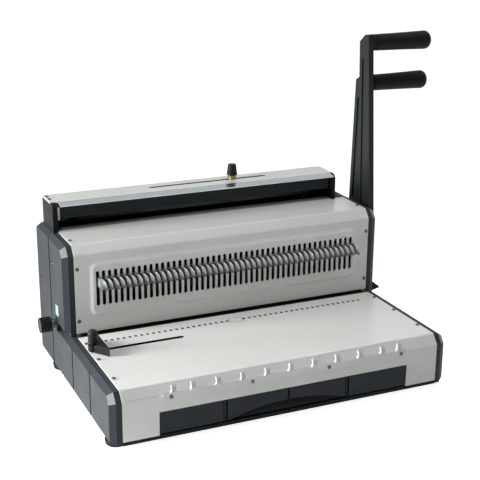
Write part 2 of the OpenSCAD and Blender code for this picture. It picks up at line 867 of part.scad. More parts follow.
// Tapered grip with a round end, bored for the lever's stud
module grip(x0, y, len, lean) {
    end_r = grip_end_d / 2;
    round_z = grip_len - grip_round;
    translate([x0 + lever_t, y, shaft_z]) rotate([-lean, 0, 0]) translate([0, 0, len - grip_inset])
        rotate([0, 90, 0]) difference() {
            rotate_extrude() {
                polygon([[0, slide], [grip_d / 2 - 1, slide], [grip_d / 2, slide + 1], [end_r, round_z],
                    [end_r - grip_round, round_z], [end_r - grip_round, grip_len], [0, grip_len]]);
                translate([end_r - grip_round, round_z]) intersection() {
                    circle(grip_round);
                    square(grip_round);
                }
            }
            translate([0, 0, -eps]) cylinder(h = grip_len - grip_end_t + 1, d = stud_d);
        }
}

module hub_bolt(x0, y) {
    color(dark_steel) difference() {
        rod_x(x0 + lever_t - bolt_h, bolt_h, y, shaft_z, bolt_d);
        translate([x0 + lever_t - bolt_hex_deep, y, shaft_z]) rotate([0, 90, 0])
            cylinder(h = bolt_hex_deep + 1, d = bolt_hex_d, $fn = 6);
    }
}

module punch_lever() {
    color(charcoal) lever(punch_x, punch_shaft_y, punch_len, punch_lean, punch_tail, punch_rear,
        punch_rear_top);
}

module punch_grip() {
    color(black) grip(punch_x, punch_shaft_y, punch_len, punch_lean);
}

module punch_grip_stud() {
    color(steel) grip_stud(punch_x, punch_shaft_y, punch_len, punch_lean);
}

module punch_lever_bolt() {
    hub_bolt(punch_x, punch_shaft_y);
}

module bind_lever() {
    color(charcoal) lever(bind_x, bind_shaft_y, bind_len, -bind_lean, bind_tail, bind_rear, bind_rear);
}

module bind_grip() {
    color(black) grip(bind_x, bind_shaft_y, bind_len, -bind_lean);
}

module bind_grip_stud() {
    color(steel) grip_stud(bind_x, bind_shaft_y, bind_len, -bind_lean);
}

module bind_lever_bolt() {
    hub_bolt(bind_x, bind_shaft_y);
}

// Plan of one hook: it leaves its slot forwards and bends towards +X
module hook_2d() {
    translate([-hook_t / 2, -1 - eps]) square([hook_t, hook_plate_y + 1 + 2 * eps]);
    intersection() {
        translate([hook_r, -1]) difference() {
            circle(hook_r + hook_t / 2);
            circle(hook_r - hook_t / 2);
        }
        translate([hook_r, -1]) polygon([[0, 0], [-2 * hook_r, 0],
            [-2 * hook_r, -2 * hook_r * tan(hook_sweep)]]);
    }
}

module hook_comb() {
    color(steel) {
        block(-arm_in - arm_t, arm_in + arm_t, hook_plate_y, hook_plate_y + hook_plate_t,
            hook_z - hook_plate_over, hook_z + hook_h + hook_plate_over);
        translate([0, 0, hook_z]) linear_extrude(hook_h) for (x = hole_xs) translate([x, 0]) hook_2d();
    }
}

module hook_arms() {
    low = shaft_z - arm_z;
    up = deck_z + 6 - shaft_z;
    color(dark_steel) both_sides() {
        block(arm_in, arm_in + arm_t, hook_plate_y + hook_plate_t, hook_rack_back, arm_z,
            arm_z + arm_h);
        block(hook_rack_x - gear_w / 2, arm_in + eps, hook_rack_back - rack_back, hook_rack_back,
            arm_z, arm_z + arm_h);
        translate([0, bind_shaft_y + hook_pr, shaft_z]) along_x(hook_rack_x - gear_w / 2, gear_w)
            rack_2d(low, up, rack_back);
    }
}

module closing_bar() {
    low = 14;
    color(black) {
        block(jaw_left, jaw_right, jaw_y, jaw_y + jaw_t, jaw_z, jaw_z + jaw_h);
        both_sides() {
            block(jaw_rack_x - gear_w / 2, jaw_rack_x + gear_w / 2, jaw_y + jaw_t - eps, jaw_rack_back,
                jaw_z + 2, jaw_z + jaw_h);
            translate([0, bind_shaft_y + jaw_pr, shaft_z]) along_x(jaw_rack_x - gear_w / 2, gear_w)
                rack_2d(low, jaw_z + jaw_h - shaft_z, rack_back);
        }
    }
}

module closer_anvil() {
    color(black) block(-frame_in, closer_right + right_end_t, deck_d, deck_d + anvil_d,
        deck_z - anvil_h, deck_z);
}

module closer_guides() {
    color(steel) {
        block(-half_w, -half_w + gib_t, gib_front, jaw_y + jaw_t, jaw_z, gib_top);
        block(closer_right - gib_t, closer_right, gib_front, jaw_y + jaw_t, jaw_z, gib_top);
    }
}

// End plate of the wire closer, with a round upper front corner
module closer_end_2d(front, back_y, low, high) {
    translate([front, low]) square([back_y - front, high - low - end_r]);
    translate([front + end_r, low]) square([back_y - front - end_r, high - low]);
    translate([front + end_r, high - end_r]) circle(end_r);
}

// End plate that the cover rests on behind its round corner
module closer_end(x0, t, low) {
    color(black) difference() {
        along_x(x0, t) closer_end_2d(end_front, closer_back_y, low, cover_z);
        block(x0 - 1, x0 + t + 1, notch_y, closer_back_y + 1, cover_z - sheet, cover_z + 1);
    }
}

module closer_end_left() {
    closer_end(closer_left, end_t, cap_top);
}

module closer_end_right() {
    closer_end(closer_right, right_end_t, deck_z);
}

module closer_back() {
    color(charcoal) block(-half_w, closer_right, closer_back_y - sheet, closer_back_y, deck_z - sheet,
        cover_z - sheet);
}

// Sloped bright strip in front of the cover
module closer_lip() {
    color(steel) along_x(-half_w + lip_side, closer_right + half_w - lip_side)
        polygon([[lip_y, cover_z - lip_h], [lip_y, cover_z - lip_rise], [notch_y, cover_z],
            [notch_y, cover_z - sheet]]);
}

module top_cover() {
    color(white) difference() {
        block(closer_left, closer_right + right_end_t, notch_y, closer_back_y, cover_z - sheet, cover_z);
        translate([0, size_y, cover_z - sheet - 1]) linear_extrude(sheet + 2) {
            translate([size_left, -size_slot_w / 2]) square([size_right - size_left, size_slot_w]);
            translate([size_left, 0]) circle(d = size_slot_w);
            translate([size_right, 0]) circle(d = size_slot_w);
        }
        for (p = top_screw_at) translate([p[0], p[1], cover_z - sheet - 1])
            cylinder(h = sheet + 2, d = screw_d + 2 * screw_free);
    }
}

top_screw_at = [[closer_left + end_t / 2, 77], [closer_left + end_t / 2, 88]];

// Block under the cover that sets how far the wire closes
module size_slider() {
    top = cover_z - sheet - slide;
    color(steel) translate([size_x, size_y, 0]) {
        block(-slider_l / 2, slider_l / 2, -slider_d / 2, slider_d / 2 - 2, top - slider_h, top);
        translate([0, 0, top - eps])
            cylinder(h = sheet + slide + size_collar_h + size_stud_in, d = size_stud_d);
    }
}

module size_collar() {
    color(brass) translate([size_x, size_y, cover_z + slide]) difference() {
        cylinder(h = size_collar_h - slide, d = size_collar_d);
        translate([0, 0, -1]) cylinder(h = size_collar_h + 2, d = size_stud_d + 2 * run);
    }
}

module size_knob() {
    color(black) translate([size_x, size_y, cover_z + size_collar_h]) difference() {
        cylinder(h = size_knob_h, d1 = size_knob_d, d2 = size_knob_top_d);
        translate([0, 0, -1]) cylinder(h = size_stud_in + 2, d = size_stud_d + 2 * run);
    }
}

module drawer_tray() {
    front = -table_d + drawer_front_t;
    color(black) difference() {
        block(-tray_half, tray_half, front, tray_back, drawer_z, drawer_z + tray_h);
        block(-tray_half + tray_wall, tray_half - tray_wall, front + tray_wall, tray_back - tray_wall,
            drawer_z + tray_wall, drawer_z + tray_h + 1);
    }
}

// Drawer front with an arched finger recess along its lower edge
module drawer_front() {
    arch_r = (arch_half * arch_half + arch_h * arch_h) / (2 * arch_h);
    color(slate) difference() {
        block(-drawer_w / 2, drawer_w / 2, -table_d, -table_d + drawer_front_t, drawer_low, drawer_top);
        intersection() {
            along_y(-table_d - 1, drawer_front_t) intersection() {
                translate([0, drawer_low + arch_h - arch_r]) circle(arch_r, $fn = 120);
                translate([-arch_half, drawer_low - 1]) square([2 * arch_half, arch_h + 2]);
            }
            along_x(-arch_half - 1, 2 * arch_half + 2) polygon([[-table_d - 2, drawer_low - 2],
                [-table_d + arch_low_deep, drawer_low - 2], [-table_d + arch_low_deep, drawer_low],
                [-table_d + arch_deep, drawer_low + arch_h + 1], [-table_d - 2, drawer_low + arch_h + 1]]);
        }
        for (x = [-seam_x, 0, seam_x]) block(x - seam_w / 2, x + seam_w / 2, -table_d - 1,
            -table_d + seam_deep, drawer_low - 1, drawer_top + 1);
        for (x = [-seam_x, seam_x]) block(x - seam_gap - seam_w / 4, x - seam_gap + seam_w / 4, -table_d - 1,
            -table_d + seam_deep / 2, drawer_low - 1, drawer_top + 1);
    }
}

module drawer_runners() {
    color(steel) both_sides() block(tray_half + slide, tray_half + slide + runner_t,
        -table_d + drawer_front_t + 1, tray_back, under_z, under_z + runner_h);
}

// Side view of one peg: a ring's part that opens towards the table
module peg_2d() {
    translate([peg_y, peg_z]) intersection() {
        difference() {
            circle(peg_r);
            circle(peg_r - peg_t);
        }
        polygon([[0, 0], 2 * peg_r * [cos(peg_tip_angle), sin(peg_tip_angle)], [-2 * peg_r, peg_r],
            [-2 * peg_r, -2 * peg_r], [0, -2 * peg_r]]);
    }
}

// Strip on the apron with a row of pegs that hold the wire
module peg_strip() {
    y0 = -table_d - peg_strip_t;
    peg_strip_z = table_z - facet_rise + peg_strip_up;
    color(white) difference() {
        union() {
            block(-peg_end - peg_strip_over, peg_end + peg_strip_over, y0, -table_d,
                peg_strip_z - peg_strip_h, peg_strip_z);
            for (x = peg_xs) along_x(x - peg_w / 2, peg_w) peg_2d();
        }
        for (x = front_screw_x) translate([x, y0 - 1, front_screw_z]) rotate([-90, 0, 0])
            cylinder(h = peg_strip_t + 2, d = screw_d + 2 * screw_free);
    }
}

// Wedge on the table that the paper's edge rests against
module paper_guide() {
    color(black) difference() {
        union() {
            translate([0, -guide_slot_y, table_z + slide]) linear_extrude(guide_h - slide)
                polygon([[guide_face_x, -guide_len / 2], [guide_face_x, guide_len / 2],
                    [clamp_x, guide_back_half], [clamp_x, -guide_back_half]]);
            translate([clamp_x, -guide_slot_y, table_z + slide])
                cylinder(h = clamp_boss_h, d = clamp_foot_d);
            translate([clamp_x, -guide_slot_y, table_z + clamp_lift + slide])
                cylinder(h = clamp_boss_h - clamp_lift, d = clamp_boss_d);
        }
        translate([clamp_x, -guide_slot_y, table_z])
            cylinder(h = guide_h + clamp_boss_h, d = clamp_stud_d + 2 * run);
        translate([clamp_x, -guide_slot_y, table_z + clamp_boss_h + slide])
            cylinder(h = guide_h, d = clamp_d + 2);
    }
}

module guide_clamp_knob() {
    base = table_z + clamp_boss_h + 2 * slide;
    dome = clamp_d / 2;
    nut_top = table_z - sheet - slide;
    color(black) translate([clamp_x, -guide_slot_y, 0]) {
        translate([0, 0, base]) rotate_extrude() {
            polygon([[0, 0], [dome - 1.4, 0], [dome - 1.4, 1.6], [dome, 2.6], [dome, clamp_h - dome],
                [0, clamp_h - dome]]);
            translate([0, clamp_h - dome]) intersection() {
                circle(dome);
                square(dome);
            }
        }
        translate([0, 0, nut_top - clamp_nut_h]) {
            cylinder(h = base - nut_top + clamp_nut_h + eps, d = clamp_stud_d);
            cylinder(h = clamp_nut_h, d = clamp_nut_d);
        }
    }
}

module margin_shaft() {
    left = -cap_x - collar_len - margin_shaft_in;
    color(steel) rod_x(left, half_w - left, margin_y, margin_z, margin_d);
}

// Eccentric discs that stop the paper behind the punches
module margin_cams() {
    color(dark_steel) for (x = margin_cam_xs) difference() {
        rod_x(x - margin_cam_w / 2, margin_cam_w, margin_y + cam_off, margin_z, cam_d);
        rod_x(x - margin_cam_w, 2 * margin_cam_w, margin_y, margin_z, margin_d + 2 * press);
    }
}

module margin_collar() {
    color(brass) difference() {
        rod_x(-cap_x - collar_len, collar_len - slide, margin_y, margin_z, margin_collar_d);
        rod_x(-cap_x - collar_len - 1, collar_len + 2, margin_y, margin_z, margin_d + 2 * press);
    }
}

module margin_knob() {
    ribs = 24;
    color(black) translate([-cap_x - collar_len, margin_y, margin_z]) rotate([0, -90, 0]) difference() {
        cylinder(h = margin_knob_len, d = margin_knob_d);
        for (i = [0:ribs - 1]) rotate(360 / ribs * i) translate([margin_knob_d / 2 + 0.3, 0, 1.5])
            cylinder(h = margin_knob_len, d = 1.6);
        translate([0, 0, -1]) cylinder(h = margin_shaft_in + 1.2, d = margin_d + 2 * press);
    }
}

// Pointed ledge low on the right side cap
module side_bracket() {
    color(black) {
        translate([0, 0, bracket_z]) linear_extrude(bracket_t)
            polygon([[cap_x, bracket_y], [cap_x + bracket_out, bracket_y], [cap_x, bracket_len]]);
        along_y(bracket_y, bracket_flange) polygon([[cap_x, bracket_z - bracket_down],
            [cap_x + bracket_out, bracket_z], [cap_x + bracket_out, bracket_z + bracket_t],
            [cap_x, bracket_z + bracket_up]]);
    }
}

module panel_screws() {
    color(dark_steel) both_sides() {
        for (z = panel_screw_z) translate([screw_x, 0, z]) rotate([90, 0, 0]) screw();
        translate([screw_x, top_screw_y, deck_z]) screw();
    }
}

module table_screws() {
    color(dark_steel) both_sides() for (y = table_screw_y) translate([screw_x, y, table_z]) screw();
}

module front_screws() {
    color(dark_steel) for (x = front_screw_x) translate([x, -table_d - peg_strip_t, front_screw_z])
        rotate([90, 0, 0]) screw(sheet + peg_strip_t + 1);
}

module top_screws() {
    color(dark_steel) for (p = top_screw_at) translate([p[0], p[1], cover_z]) screw(sheet);
}

module cap_screws() {
    color(dark_steel) both_sides() for (p = cap_screw_at) translate([cap_x - line_deep, p[0], p[1]])
        rotate([0, 90, 0]) screw(rim + bevel_x - line_deep + frame_t);
}

place() base_plate();
place() left_frame();
place() right_frame();
place() tie_rods();
place() left_cap();
place() right_cap();
place() table_cover();
place() front_cover();
place() rear_cover();
place() die_block();
place() punch_guide_plate();
place() throat_spacers();
place() guide_posts();
place() punch_ram();
place() punch_pins();
place() punch_shaft();
place() punch_pinions();
place() punch_lever();
place() punch_grip();
place() punch_grip_stud();
place() punch_lever_bolt();
place() shaft_bushes();
place() bind_shaft();
place() bind_pinions();
place() bind_lever();
place() bind_grip();
place() bind_grip_stud();
place() bind_lever_bolt();
place() hook_comb();
place() hook_arms();
place() closing_bar();
place() closer_anvil();
place() closer_guides();
place() closer_end_left();
place() closer_end_right();
place() closer_back();
place() closer_lip();
place() top_cover();
place() size_slider();
place() size_collar();
place() size_knob();
place() drawer_tray();
place() drawer_front();
place() drawer_runners();
place() peg_strip();
place() paper_guide();
place() guide_clamp_knob();
place() margin_shaft();
place() margin_cams();
place() margin_collar();
place() margin_knob();
place() side_bracket();
place() feet();
place() panel_screws();
place() table_screws();
place() front_screws();
place() top_screws();
place() cap_screws();
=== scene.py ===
import json
import math

import bmesh
import bpy
from mathutils import Matrix, Vector

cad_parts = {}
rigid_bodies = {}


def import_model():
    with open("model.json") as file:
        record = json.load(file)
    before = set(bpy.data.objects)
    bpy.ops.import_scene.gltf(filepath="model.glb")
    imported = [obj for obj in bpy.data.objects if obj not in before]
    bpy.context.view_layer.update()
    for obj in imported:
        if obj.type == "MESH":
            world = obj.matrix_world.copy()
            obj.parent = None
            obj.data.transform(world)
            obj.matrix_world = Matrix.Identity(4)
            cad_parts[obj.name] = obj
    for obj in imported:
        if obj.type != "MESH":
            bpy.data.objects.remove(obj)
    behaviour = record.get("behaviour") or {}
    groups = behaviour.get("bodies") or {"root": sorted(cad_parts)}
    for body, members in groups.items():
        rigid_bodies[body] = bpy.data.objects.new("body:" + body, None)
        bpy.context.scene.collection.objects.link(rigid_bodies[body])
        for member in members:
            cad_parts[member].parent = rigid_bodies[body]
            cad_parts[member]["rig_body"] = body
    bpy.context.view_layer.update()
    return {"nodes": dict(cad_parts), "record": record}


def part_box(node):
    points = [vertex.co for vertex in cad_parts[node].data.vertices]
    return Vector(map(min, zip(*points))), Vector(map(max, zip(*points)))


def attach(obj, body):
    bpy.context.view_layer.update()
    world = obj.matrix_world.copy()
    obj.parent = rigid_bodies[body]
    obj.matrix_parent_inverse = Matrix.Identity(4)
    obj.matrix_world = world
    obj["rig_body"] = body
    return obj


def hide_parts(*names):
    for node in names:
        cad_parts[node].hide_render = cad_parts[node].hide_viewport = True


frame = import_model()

# Sizes are in millimetres, from the middle of the row of holes, the panel's face and the desk
MM = 0.001
TABLE_D = 145.4
base_low, base_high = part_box("base_plate")
ROW_X = (base_low.x + base_high.x) / 2
PANEL_Y = base_low.y + TABLE_D * MM
TO_FRAME = Matrix.Translation((ROW_X, PANEL_Y, 0)) @ Matrix.Diagonal((MM, MM, MM, 1))
NODES = frame["nodes"]
BODY = {name: node["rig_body"] for name, node in NODES.items()}
SLOT = {part["node"]: part["material_slot"] for part in frame["record"]["subparts"]}

# Row of holes and levels
PITCH = 6.35
HOLES = 47
TABLE_Z = 59.0
CAP_X = 181.0

# Hooks: strip, bend in degrees, curl of the tip, and the plate that carries them
HOOK_Z = 111.5
HOOK_H = 8.3
HOOK_T = 1.6
HOOK_CHAMFER = 0.3
HOOK_OUT = 1.0
HOOK_R = 10.0
HOOK_SWEEP = 75.0
HOOK_STEPS = 14
HOOK_TIP_H = 3.6
HOOK_THINNING = 0.45
HOOK_DROOP = 4.2
HOOK_DROOP_CURVE = 1.6
HOOK_LEAN = 1.8
HOOK_PLATE_Y = 3.0
HOOK_PLATE_T = 2.5
HOOK_PLATE_OVER = 0.6

# Painted highlight along a hook, in shares of its bend
HIGHLIGHT_START = 0.25
HIGHLIGHT_RUN = 0.4
TIP_HIGHLIGHT = 0.7
TIP_HIGHLIGHT_CURVE = 4

# Rounded edges
FINE_EDGE = 0.2
SHEET_EDGE = 0.3
DRAWER_EDGE = 0.4
PLASTIC_EDGE = 0.5
CAP_EDGE = 0.6
LEVER_EDGE = 0.7
TABLE_BEND = 3.0
FRONT_BEND = 1.3

# Slots, seams and other faces that get a second finish
FIELD_RISE = 1.9
GUIDE_SLOT_Y = -44.0
GUIDE_SLOT_REACH = 167.0
SIZE_SLOT_Y = 81.0
SIZE_SLOT_REACH = 90.5
SLOT_NEAR = 3.2
SEAM_TOP = 0.3
SEAM_FLOOR = 1.4
PEG_FOOT = 6.6
ROOT_Y = -0.5

# Screws
SCREW_HEAD_H = 1.1
SCREW_HEAD_R = 2.0
SCREW_SHANK_R = 1.1
SCREW_STEPS = 40
HEAD_SHARE = 0.4
CROSS_ARM = 0.98
CROSS_HALF = 0.2
CROSS_DEEP = 0.6
CROSS_TAPER = 0.7

# Marks on the table and the frame round the middle ones
MARK_Y = -23.5
MARK_X = 1.5
MARK_HALF = 2.1
MARK_Z = TABLE_Z + 0.03
FRAME_X = -2.8
FRAME_W = 15.0
FRAME_D = 12.0
FRAME_R = 3.0
FRAME_LINE = 0.45

# Plain label on the left cap
LABEL_Y = (26.0, 36.0)
LABEL_Z = (72.0, 83.0)
LABEL_T = 0.25
LABEL_EDGE = 0.1


# Materials
class Material:
    """Principled material whose colour, roughness and bump vary over the surface."""

    def __init__(self, name):
        self.data = bpy.data.materials.new(name)
        self.data.use_nodes = True
        self.tree = self.data.node_tree
        self.tree.nodes.clear()
        output = self.add("ShaderNodeOutputMaterial")
        self.shader = self.add("ShaderNodeBsdfPrincipled")
        self.join(self.shader.outputs["BSDF"], output.inputs["Surface"])
        self.place = self.add("ShaderNodeTexCoord").outputs["Object"]

    def add(self, kind):
        return self.tree.nodes.new(kind)

    def join(self, source, target):
        self.tree.links.new(source, target)

    def put(self, name, value):
        self.shader.inputs[name].default_value = value

    def noise(self, size, detail=2.0, stretch=(1, 1, 1)):
        """Cloudy pattern with features of about this size in millimetres."""
        mapping = self.add("ShaderNodeMapping")
        mapping.inputs["Scale"].default_value = stretch
        self.join(self.place, mapping.inputs["Vector"])
        node = self.add("ShaderNodeTexNoise")
        node.inputs["Scale"].default_value = 1 / (size * MM)
        node.inputs["Detail"].default_value = detail
        self.join(mapping.outputs["Vector"], node.inputs["Vector"])
        return node.outputs["Fac"]

    def span(self, source, low, high, start=0.3, end=0.7):
        """Pattern stretched to the values from low to high."""
        node = self.add("ShaderNodeMapRange")
        node.inputs["From Min"].default_value = start
        node.inputs["From Max"].default_value = end
        node.inputs["To Min"].default_value = low
        node.inputs["To Max"].default_value = high
        self.join(source, node.inputs["Value"])
        return node.outputs["Result"]

    def combine(self, kind, first, second):
        node = self.add("ShaderNodeMath")
        node.operation = kind
        self.join(first, node.inputs[0])
        self.join(second, node.inputs[1])
        return node.outputs["Value"]

    def blend(self, factor, first, second):
        """Colour between two colours; each is a tuple or another node's output."""
        node = self.add("ShaderNodeMix")
        node.data_type = "RGBA"
        for socket, value in ((node.inputs[6], first), (node.inputs[7], second)):
            if isinstance(value, tuple):
                socket.default_value = (*value, 1)
            else:
                self.join(value, socket)
        self.join(factor, node.inputs[0])
        return node.outputs[2]

    def edge(self):
        """1 on rounded edges, 0 elsewhere."""
        node = self.add("ShaderNodeAttribute")
        node.attribute_name = "edge"
        return node.outputs["Fac"]

    def bump(self, height, depth):
        node = self.add("ShaderNodeBump")
        node.inputs["Distance"].default_value = depth * MM
        self.join(height, node.inputs["Height"])
        self.join(node.outputs["Normal"], self.shader.inputs["Normal"])


def coated_sheet(name, colour, shade, worn_and_highlit, rough, shine, coat=0.0):
    """Powder coat on sheet metal: faint clouds, fine peel, paler edges from wear and a painted
    highlight.
    """
    m = Material(name)
    paint = m.blend(m.span(m.noise(70, 4), 0, 1), colour, shade)
    rubbed_and_highlit = m.combine("MULTIPLY", m.edge(), m.span(m.noise(12, 4), 0.1, 0.9))
    m.join(m.blend(rubbed_and_highlit, paint, worn_and_highlit), m.shader.inputs["Base Color"])
    m.join(m.span(m.noise(35, 5), rough - 0.04, rough + 0.04), m.shader.inputs["Roughness"])
    m.bump(m.noise(1.3, 2), 0.004)
    m.put("Specular IOR Level", shine)
    m.put("Coat Weight", coat)
    m.put("Coat Roughness", 0.06)
    return m.data


def moulded(name, colour, shade, worn_and_highlit, rough, shine, grain=0.6, depth=0.02):
    """Moulded plastic with a fine grain, paler and smoother edges from wear and a painted highlight."""
    m = Material(name)
    tint = m.blend(m.span(m.noise(45, 4), 0, 1), colour, shade)
    rubbed_and_highlit = m.combine("MULTIPLY", m.edge(), m.span(m.noise(8, 4), 0.15, 0.85))
    m.join(m.blend(rubbed_and_highlit, tint, worn_and_highlit), m.shader.inputs["Base Color"])
    smooth = m.span(rubbed_and_highlit, rough, rough - 0.12, 0, 1)
    uneven = m.span(m.noise(20, 5), -0.04, 0.04)
    m.join(m.combine("ADD", smooth, uneven), m.shader.inputs["Roughness"])
    m.bump(m.noise(grain, 2), depth)
    m.put("Specular IOR Level", shine)
    return m.data


def bare_metal(name, colour, shade, rough, stretch=(1, 1, 1), stain=None):
    """Bare metal with fine tool marks along one direction and a few dull patches."""
    m = Material(name)
    marks = m.noise(1.2, 3, stretch)
    tint = m.blend(m.span(marks, 0, 1), colour, shade)
    patch = m.span(m.noise(14, 4), 0, 0.5, 0.5, 0.8)
    m.join(m.blend(patch, tint, stain or shade), m.shader.inputs["Base Color"])
    worked = m.span(marks, rough - 0.05, rough + 0.08)
    dulled = m.span(patch, 0, 0.12, 0, 0.5)
    m.join(m.combine("ADD", worked, dulled), m.shader.inputs["Roughness"])
    m.bump(marks, 0.008)
    m.put("Metallic", 1.0)
    return m.data


def soft_rubber(name, colour, shade, rough):
    """Matt rubber with a pebbled skin and paler handled places."""
    m = Material(name)
    skin = m.noise(0.9, 3)
    handled = m.combine("MULTIPLY", m.span(m.noise(18, 4), 0, 1), m.span(skin, 0.4, 1))
    m.join(m.blend(handled, colour, shade), m.shader.inputs["Base Color"])
    m.join(m.span(skin, rough - 0.08, rough + 0.08), m.shader.inputs["Roughness"])
    m.bump(skin, 0.03)
    m.put("Specular IOR Level", 0.12)
    return m.data


def bent_steel(name, colour, shade, highlight_colour, rough):
    """Hardened steel strip: dark faces as a painted reflection, and a painted highlight on its edges.
    """
    m = Material(name)
    marks = m.noise(0.8, 3, (1, 1, 6))
    tint = m.blend(m.span(marks, 0, 1), colour, shade)
    worn_and_highlit = m.span(m.edge(), 0, 1, 0.42, 0.92)
    bright = m.combine("MULTIPLY", worn_and_highlit, m.span(m.noise(5, 3), 0.75, 1.0))
    m.join(m.blend(bright, tint, highlight_colour), m.shader.inputs["Base Color"])
    m.join(m.span(bright, rough, rough - 0.18, 0, 1), m.shader.inputs["Roughness"])
    m.join(m.span(bright, 1.0, 0.15, 0, 1), m.shader.inputs["Metallic"])
    m.bump(marks, 0.004)
    return m.data


def printed(name, colour, shade, rough):
    """Thin print or film with a slightly uneven tone."""
    m = Material(name)
    m.join(m.blend(m.span(m.noise(4, 4), 0, 1), colour, shade), m.shader.inputs["Base Color"])
    m.join(m.span(m.noise(1, 2), rough - 0.05, rough + 0.05), m.shader.inputs["Roughness"])
    return m.data


FINISH = {
    "white_sheet": coated_sheet("white_sheet", (0.785, 0.80, 0.768), (0.755, 0.77, 0.74),
        (0.86, 0.87, 0.84), 0.32, 0.35, 0.1),
    "cap_plastic": moulded("cap_plastic", (0.029, 0.035, 0.040), (0.037, 0.043, 0.049),
        (0.075, 0.078, 0.084), 0.55, 0.16),
    "black_sheet": coated_sheet("black_sheet", (0.011, 0.011, 0.012), (0.016, 0.016, 0.018),
        (0.035, 0.035, 0.04), 0.5, 0.08),
    "lever_paint": coated_sheet("lever_paint", (0.012, 0.015, 0.017), (0.016, 0.020, 0.022),
        (0.05, 0.05, 0.056), 0.46, 0.2),
    "grip_rubber": soft_rubber("grip_rubber", (0.006, 0.006, 0.0065), (0.010, 0.010, 0.011), 0.55),
    "foot_rubber": soft_rubber("foot_rubber", (0.018, 0.018, 0.018), (0.030, 0.030, 0.030), 0.75),
    "black_plastic": moulded("black_plastic", (0.008, 0.010, 0.0115), (0.012, 0.015, 0.017),
        (0.04, 0.04, 0.045), 0.42, 0.18, 0.5, 0.015),
    "drawer_plastic": moulded("drawer_plastic", (0.022, 0.027, 0.031), (0.027, 0.033, 0.038),
        (0.05, 0.056, 0.065), 0.55, 0.14),
    "frame_steel": bare_metal("frame_steel", (0.34, 0.35, 0.37), (0.27, 0.28, 0.30), 0.42,
        (1, 6, 1), (0.2, 0.2, 0.21)),
    "tool_steel": bare_metal("tool_steel", (0.42, 0.43, 0.45), (0.34, 0.35, 0.37), 0.34,
        (6, 1, 1), (0.25, 0.24, 0.23)),
    "bright_steel": bare_metal("bright_steel", (0.74, 0.75, 0.77), (0.63, 0.64, 0.66), 0.2,
        (1, 1, 5), (0.55, 0.56, 0.58)),
    "screw_steel": bare_metal("screw_steel", (0.16, 0.15, 0.14), (0.10, 0.095, 0.09), 0.38,
        (1, 1, 1), (0.06, 0.055, 0.05)),
    "brass": bare_metal("brass", (0.44, 0.34, 0.19), (0.34, 0.26, 0.14), 0.34,
        (4, 4, 1), (0.20, 0.15, 0.09)),
    "bronze": bare_metal("bronze", (0.50, 0.34, 0.17), (0.40, 0.27, 0.14), 0.4,
        (1, 4, 4), (0.28, 0.18, 0.10)),
    "peg_white": moulded("peg_white", (0.64, 0.65, 0.63), (0.60, 0.61, 0.59),
        (0.68, 0.69, 0.67), 0.46, 0.2, 0.8, 0.01),
}
MARK_INK = printed("mark_ink", (0.03, 0.03, 0.033), (0.055, 0.055, 0.06), 0.5)
LABEL_FILM = printed("label_film", (0.24, 0.50, 0.66), (0.34, 0.60, 0.74), 0.3)
# Black oxide of the tools; on hook roots, pinions and parts behind the slots it is painted shade
BLACK_OXIDE_AND_PAINTED_SHADE = bare_metal("black_oxide_and_painted_shade", (0.022, 0.022, 0.024), (0.014, 0.014, 0.016), 0.42,
    (6, 1, 1), (0.035, 0.032, 0.03))
# Hook steel: dark faces are a painted dark reflection, the near-white edge colour a painted highlight
HOOK_STEEL_PAINTED_LIGHT = bent_steel("hook_steel_painted_light", (0.17, 0.182, 0.182), (0.125, 0.134, 0.136),
    (0.97, 0.98, 0.99), 0.38)
POLISHED = bare_metal("polished_strip", (0.365, 0.40, 0.415), (0.35, 0.385, 0.40), 0.2,
    (1, 8, 8), (0.32, 0.35, 0.36))
# Pale finish for the caps' front corner facets: a painted highlight
CAP_CORNER_HIGHLIGHT = moulded("painted_cap_corner_highlight", (0.19, 0.20, 0.205), (0.24, 0.25, 0.255),
    (0.3, 0.3, 0.3), 0.45, 0.3)
AGED_BRASS = bare_metal("aged_brass", (0.24, 0.21, 0.165), (0.18, 0.155, 0.12), 0.42,
    (4, 4, 1), (0.12, 0.10, 0.08))
BAR_BLACK = coated_sheet("bar_black", (0.022, 0.028, 0.031), (0.027, 0.034, 0.037),
    (0.05, 0.05, 0.055), 0.5, 0.15)
SCREW_GREY = bare_metal("screw_grey", (0.16, 0.155, 0.145), (0.12, 0.115, 0.11), 0.4,
    (3, 3, 3), (0.07, 0.065, 0.06))
# Grey for the walls of the size slot: painted shade
SIZE_SLOT_PAINTED_SHADE = coated_sheet("size_slot_painted_shade", (0.20, 0.20, 0.195), (0.16, 0.16, 0.155),
    (0.25, 0.25, 0.24), 0.5, 0.2)
# Darker finish for the peg strip's upward faces: painted shade
PEG_TOP_PAINTED_SHADE = moulded("peg_top_painted_shade", (0.50, 0.51, 0.49), (0.46, 0.47, 0.45),
    (0.55, 0.56, 0.54), 0.5, 0.2)
# Near-black for slot walls and seam grooves: painted shade
PAINTED_SHADE_BLACK = coated_sheet("painted_shade_black", (0.010, 0.010, 0.011), (0.014, 0.014, 0.015),
    (0.02, 0.02, 0.022), 0.6, 0.05)
# Lighter grey inside the closer: painted light in the shaded gap under the closing bar
CLOSER_INSIDE_PAINTED_LIGHT = coated_sheet("closer_inside_painted_light", (0.27, 0.285, 0.30), (0.30, 0.315, 0.33),
    (0.34, 0.35, 0.36), 0.55, 0.2)


# Mesh helpers
WELD = 1e-6
FLAT = math.radians(0.4)
SHARP = 25
SOFT_BEND = 10
BEND_SEGMENTS = 4


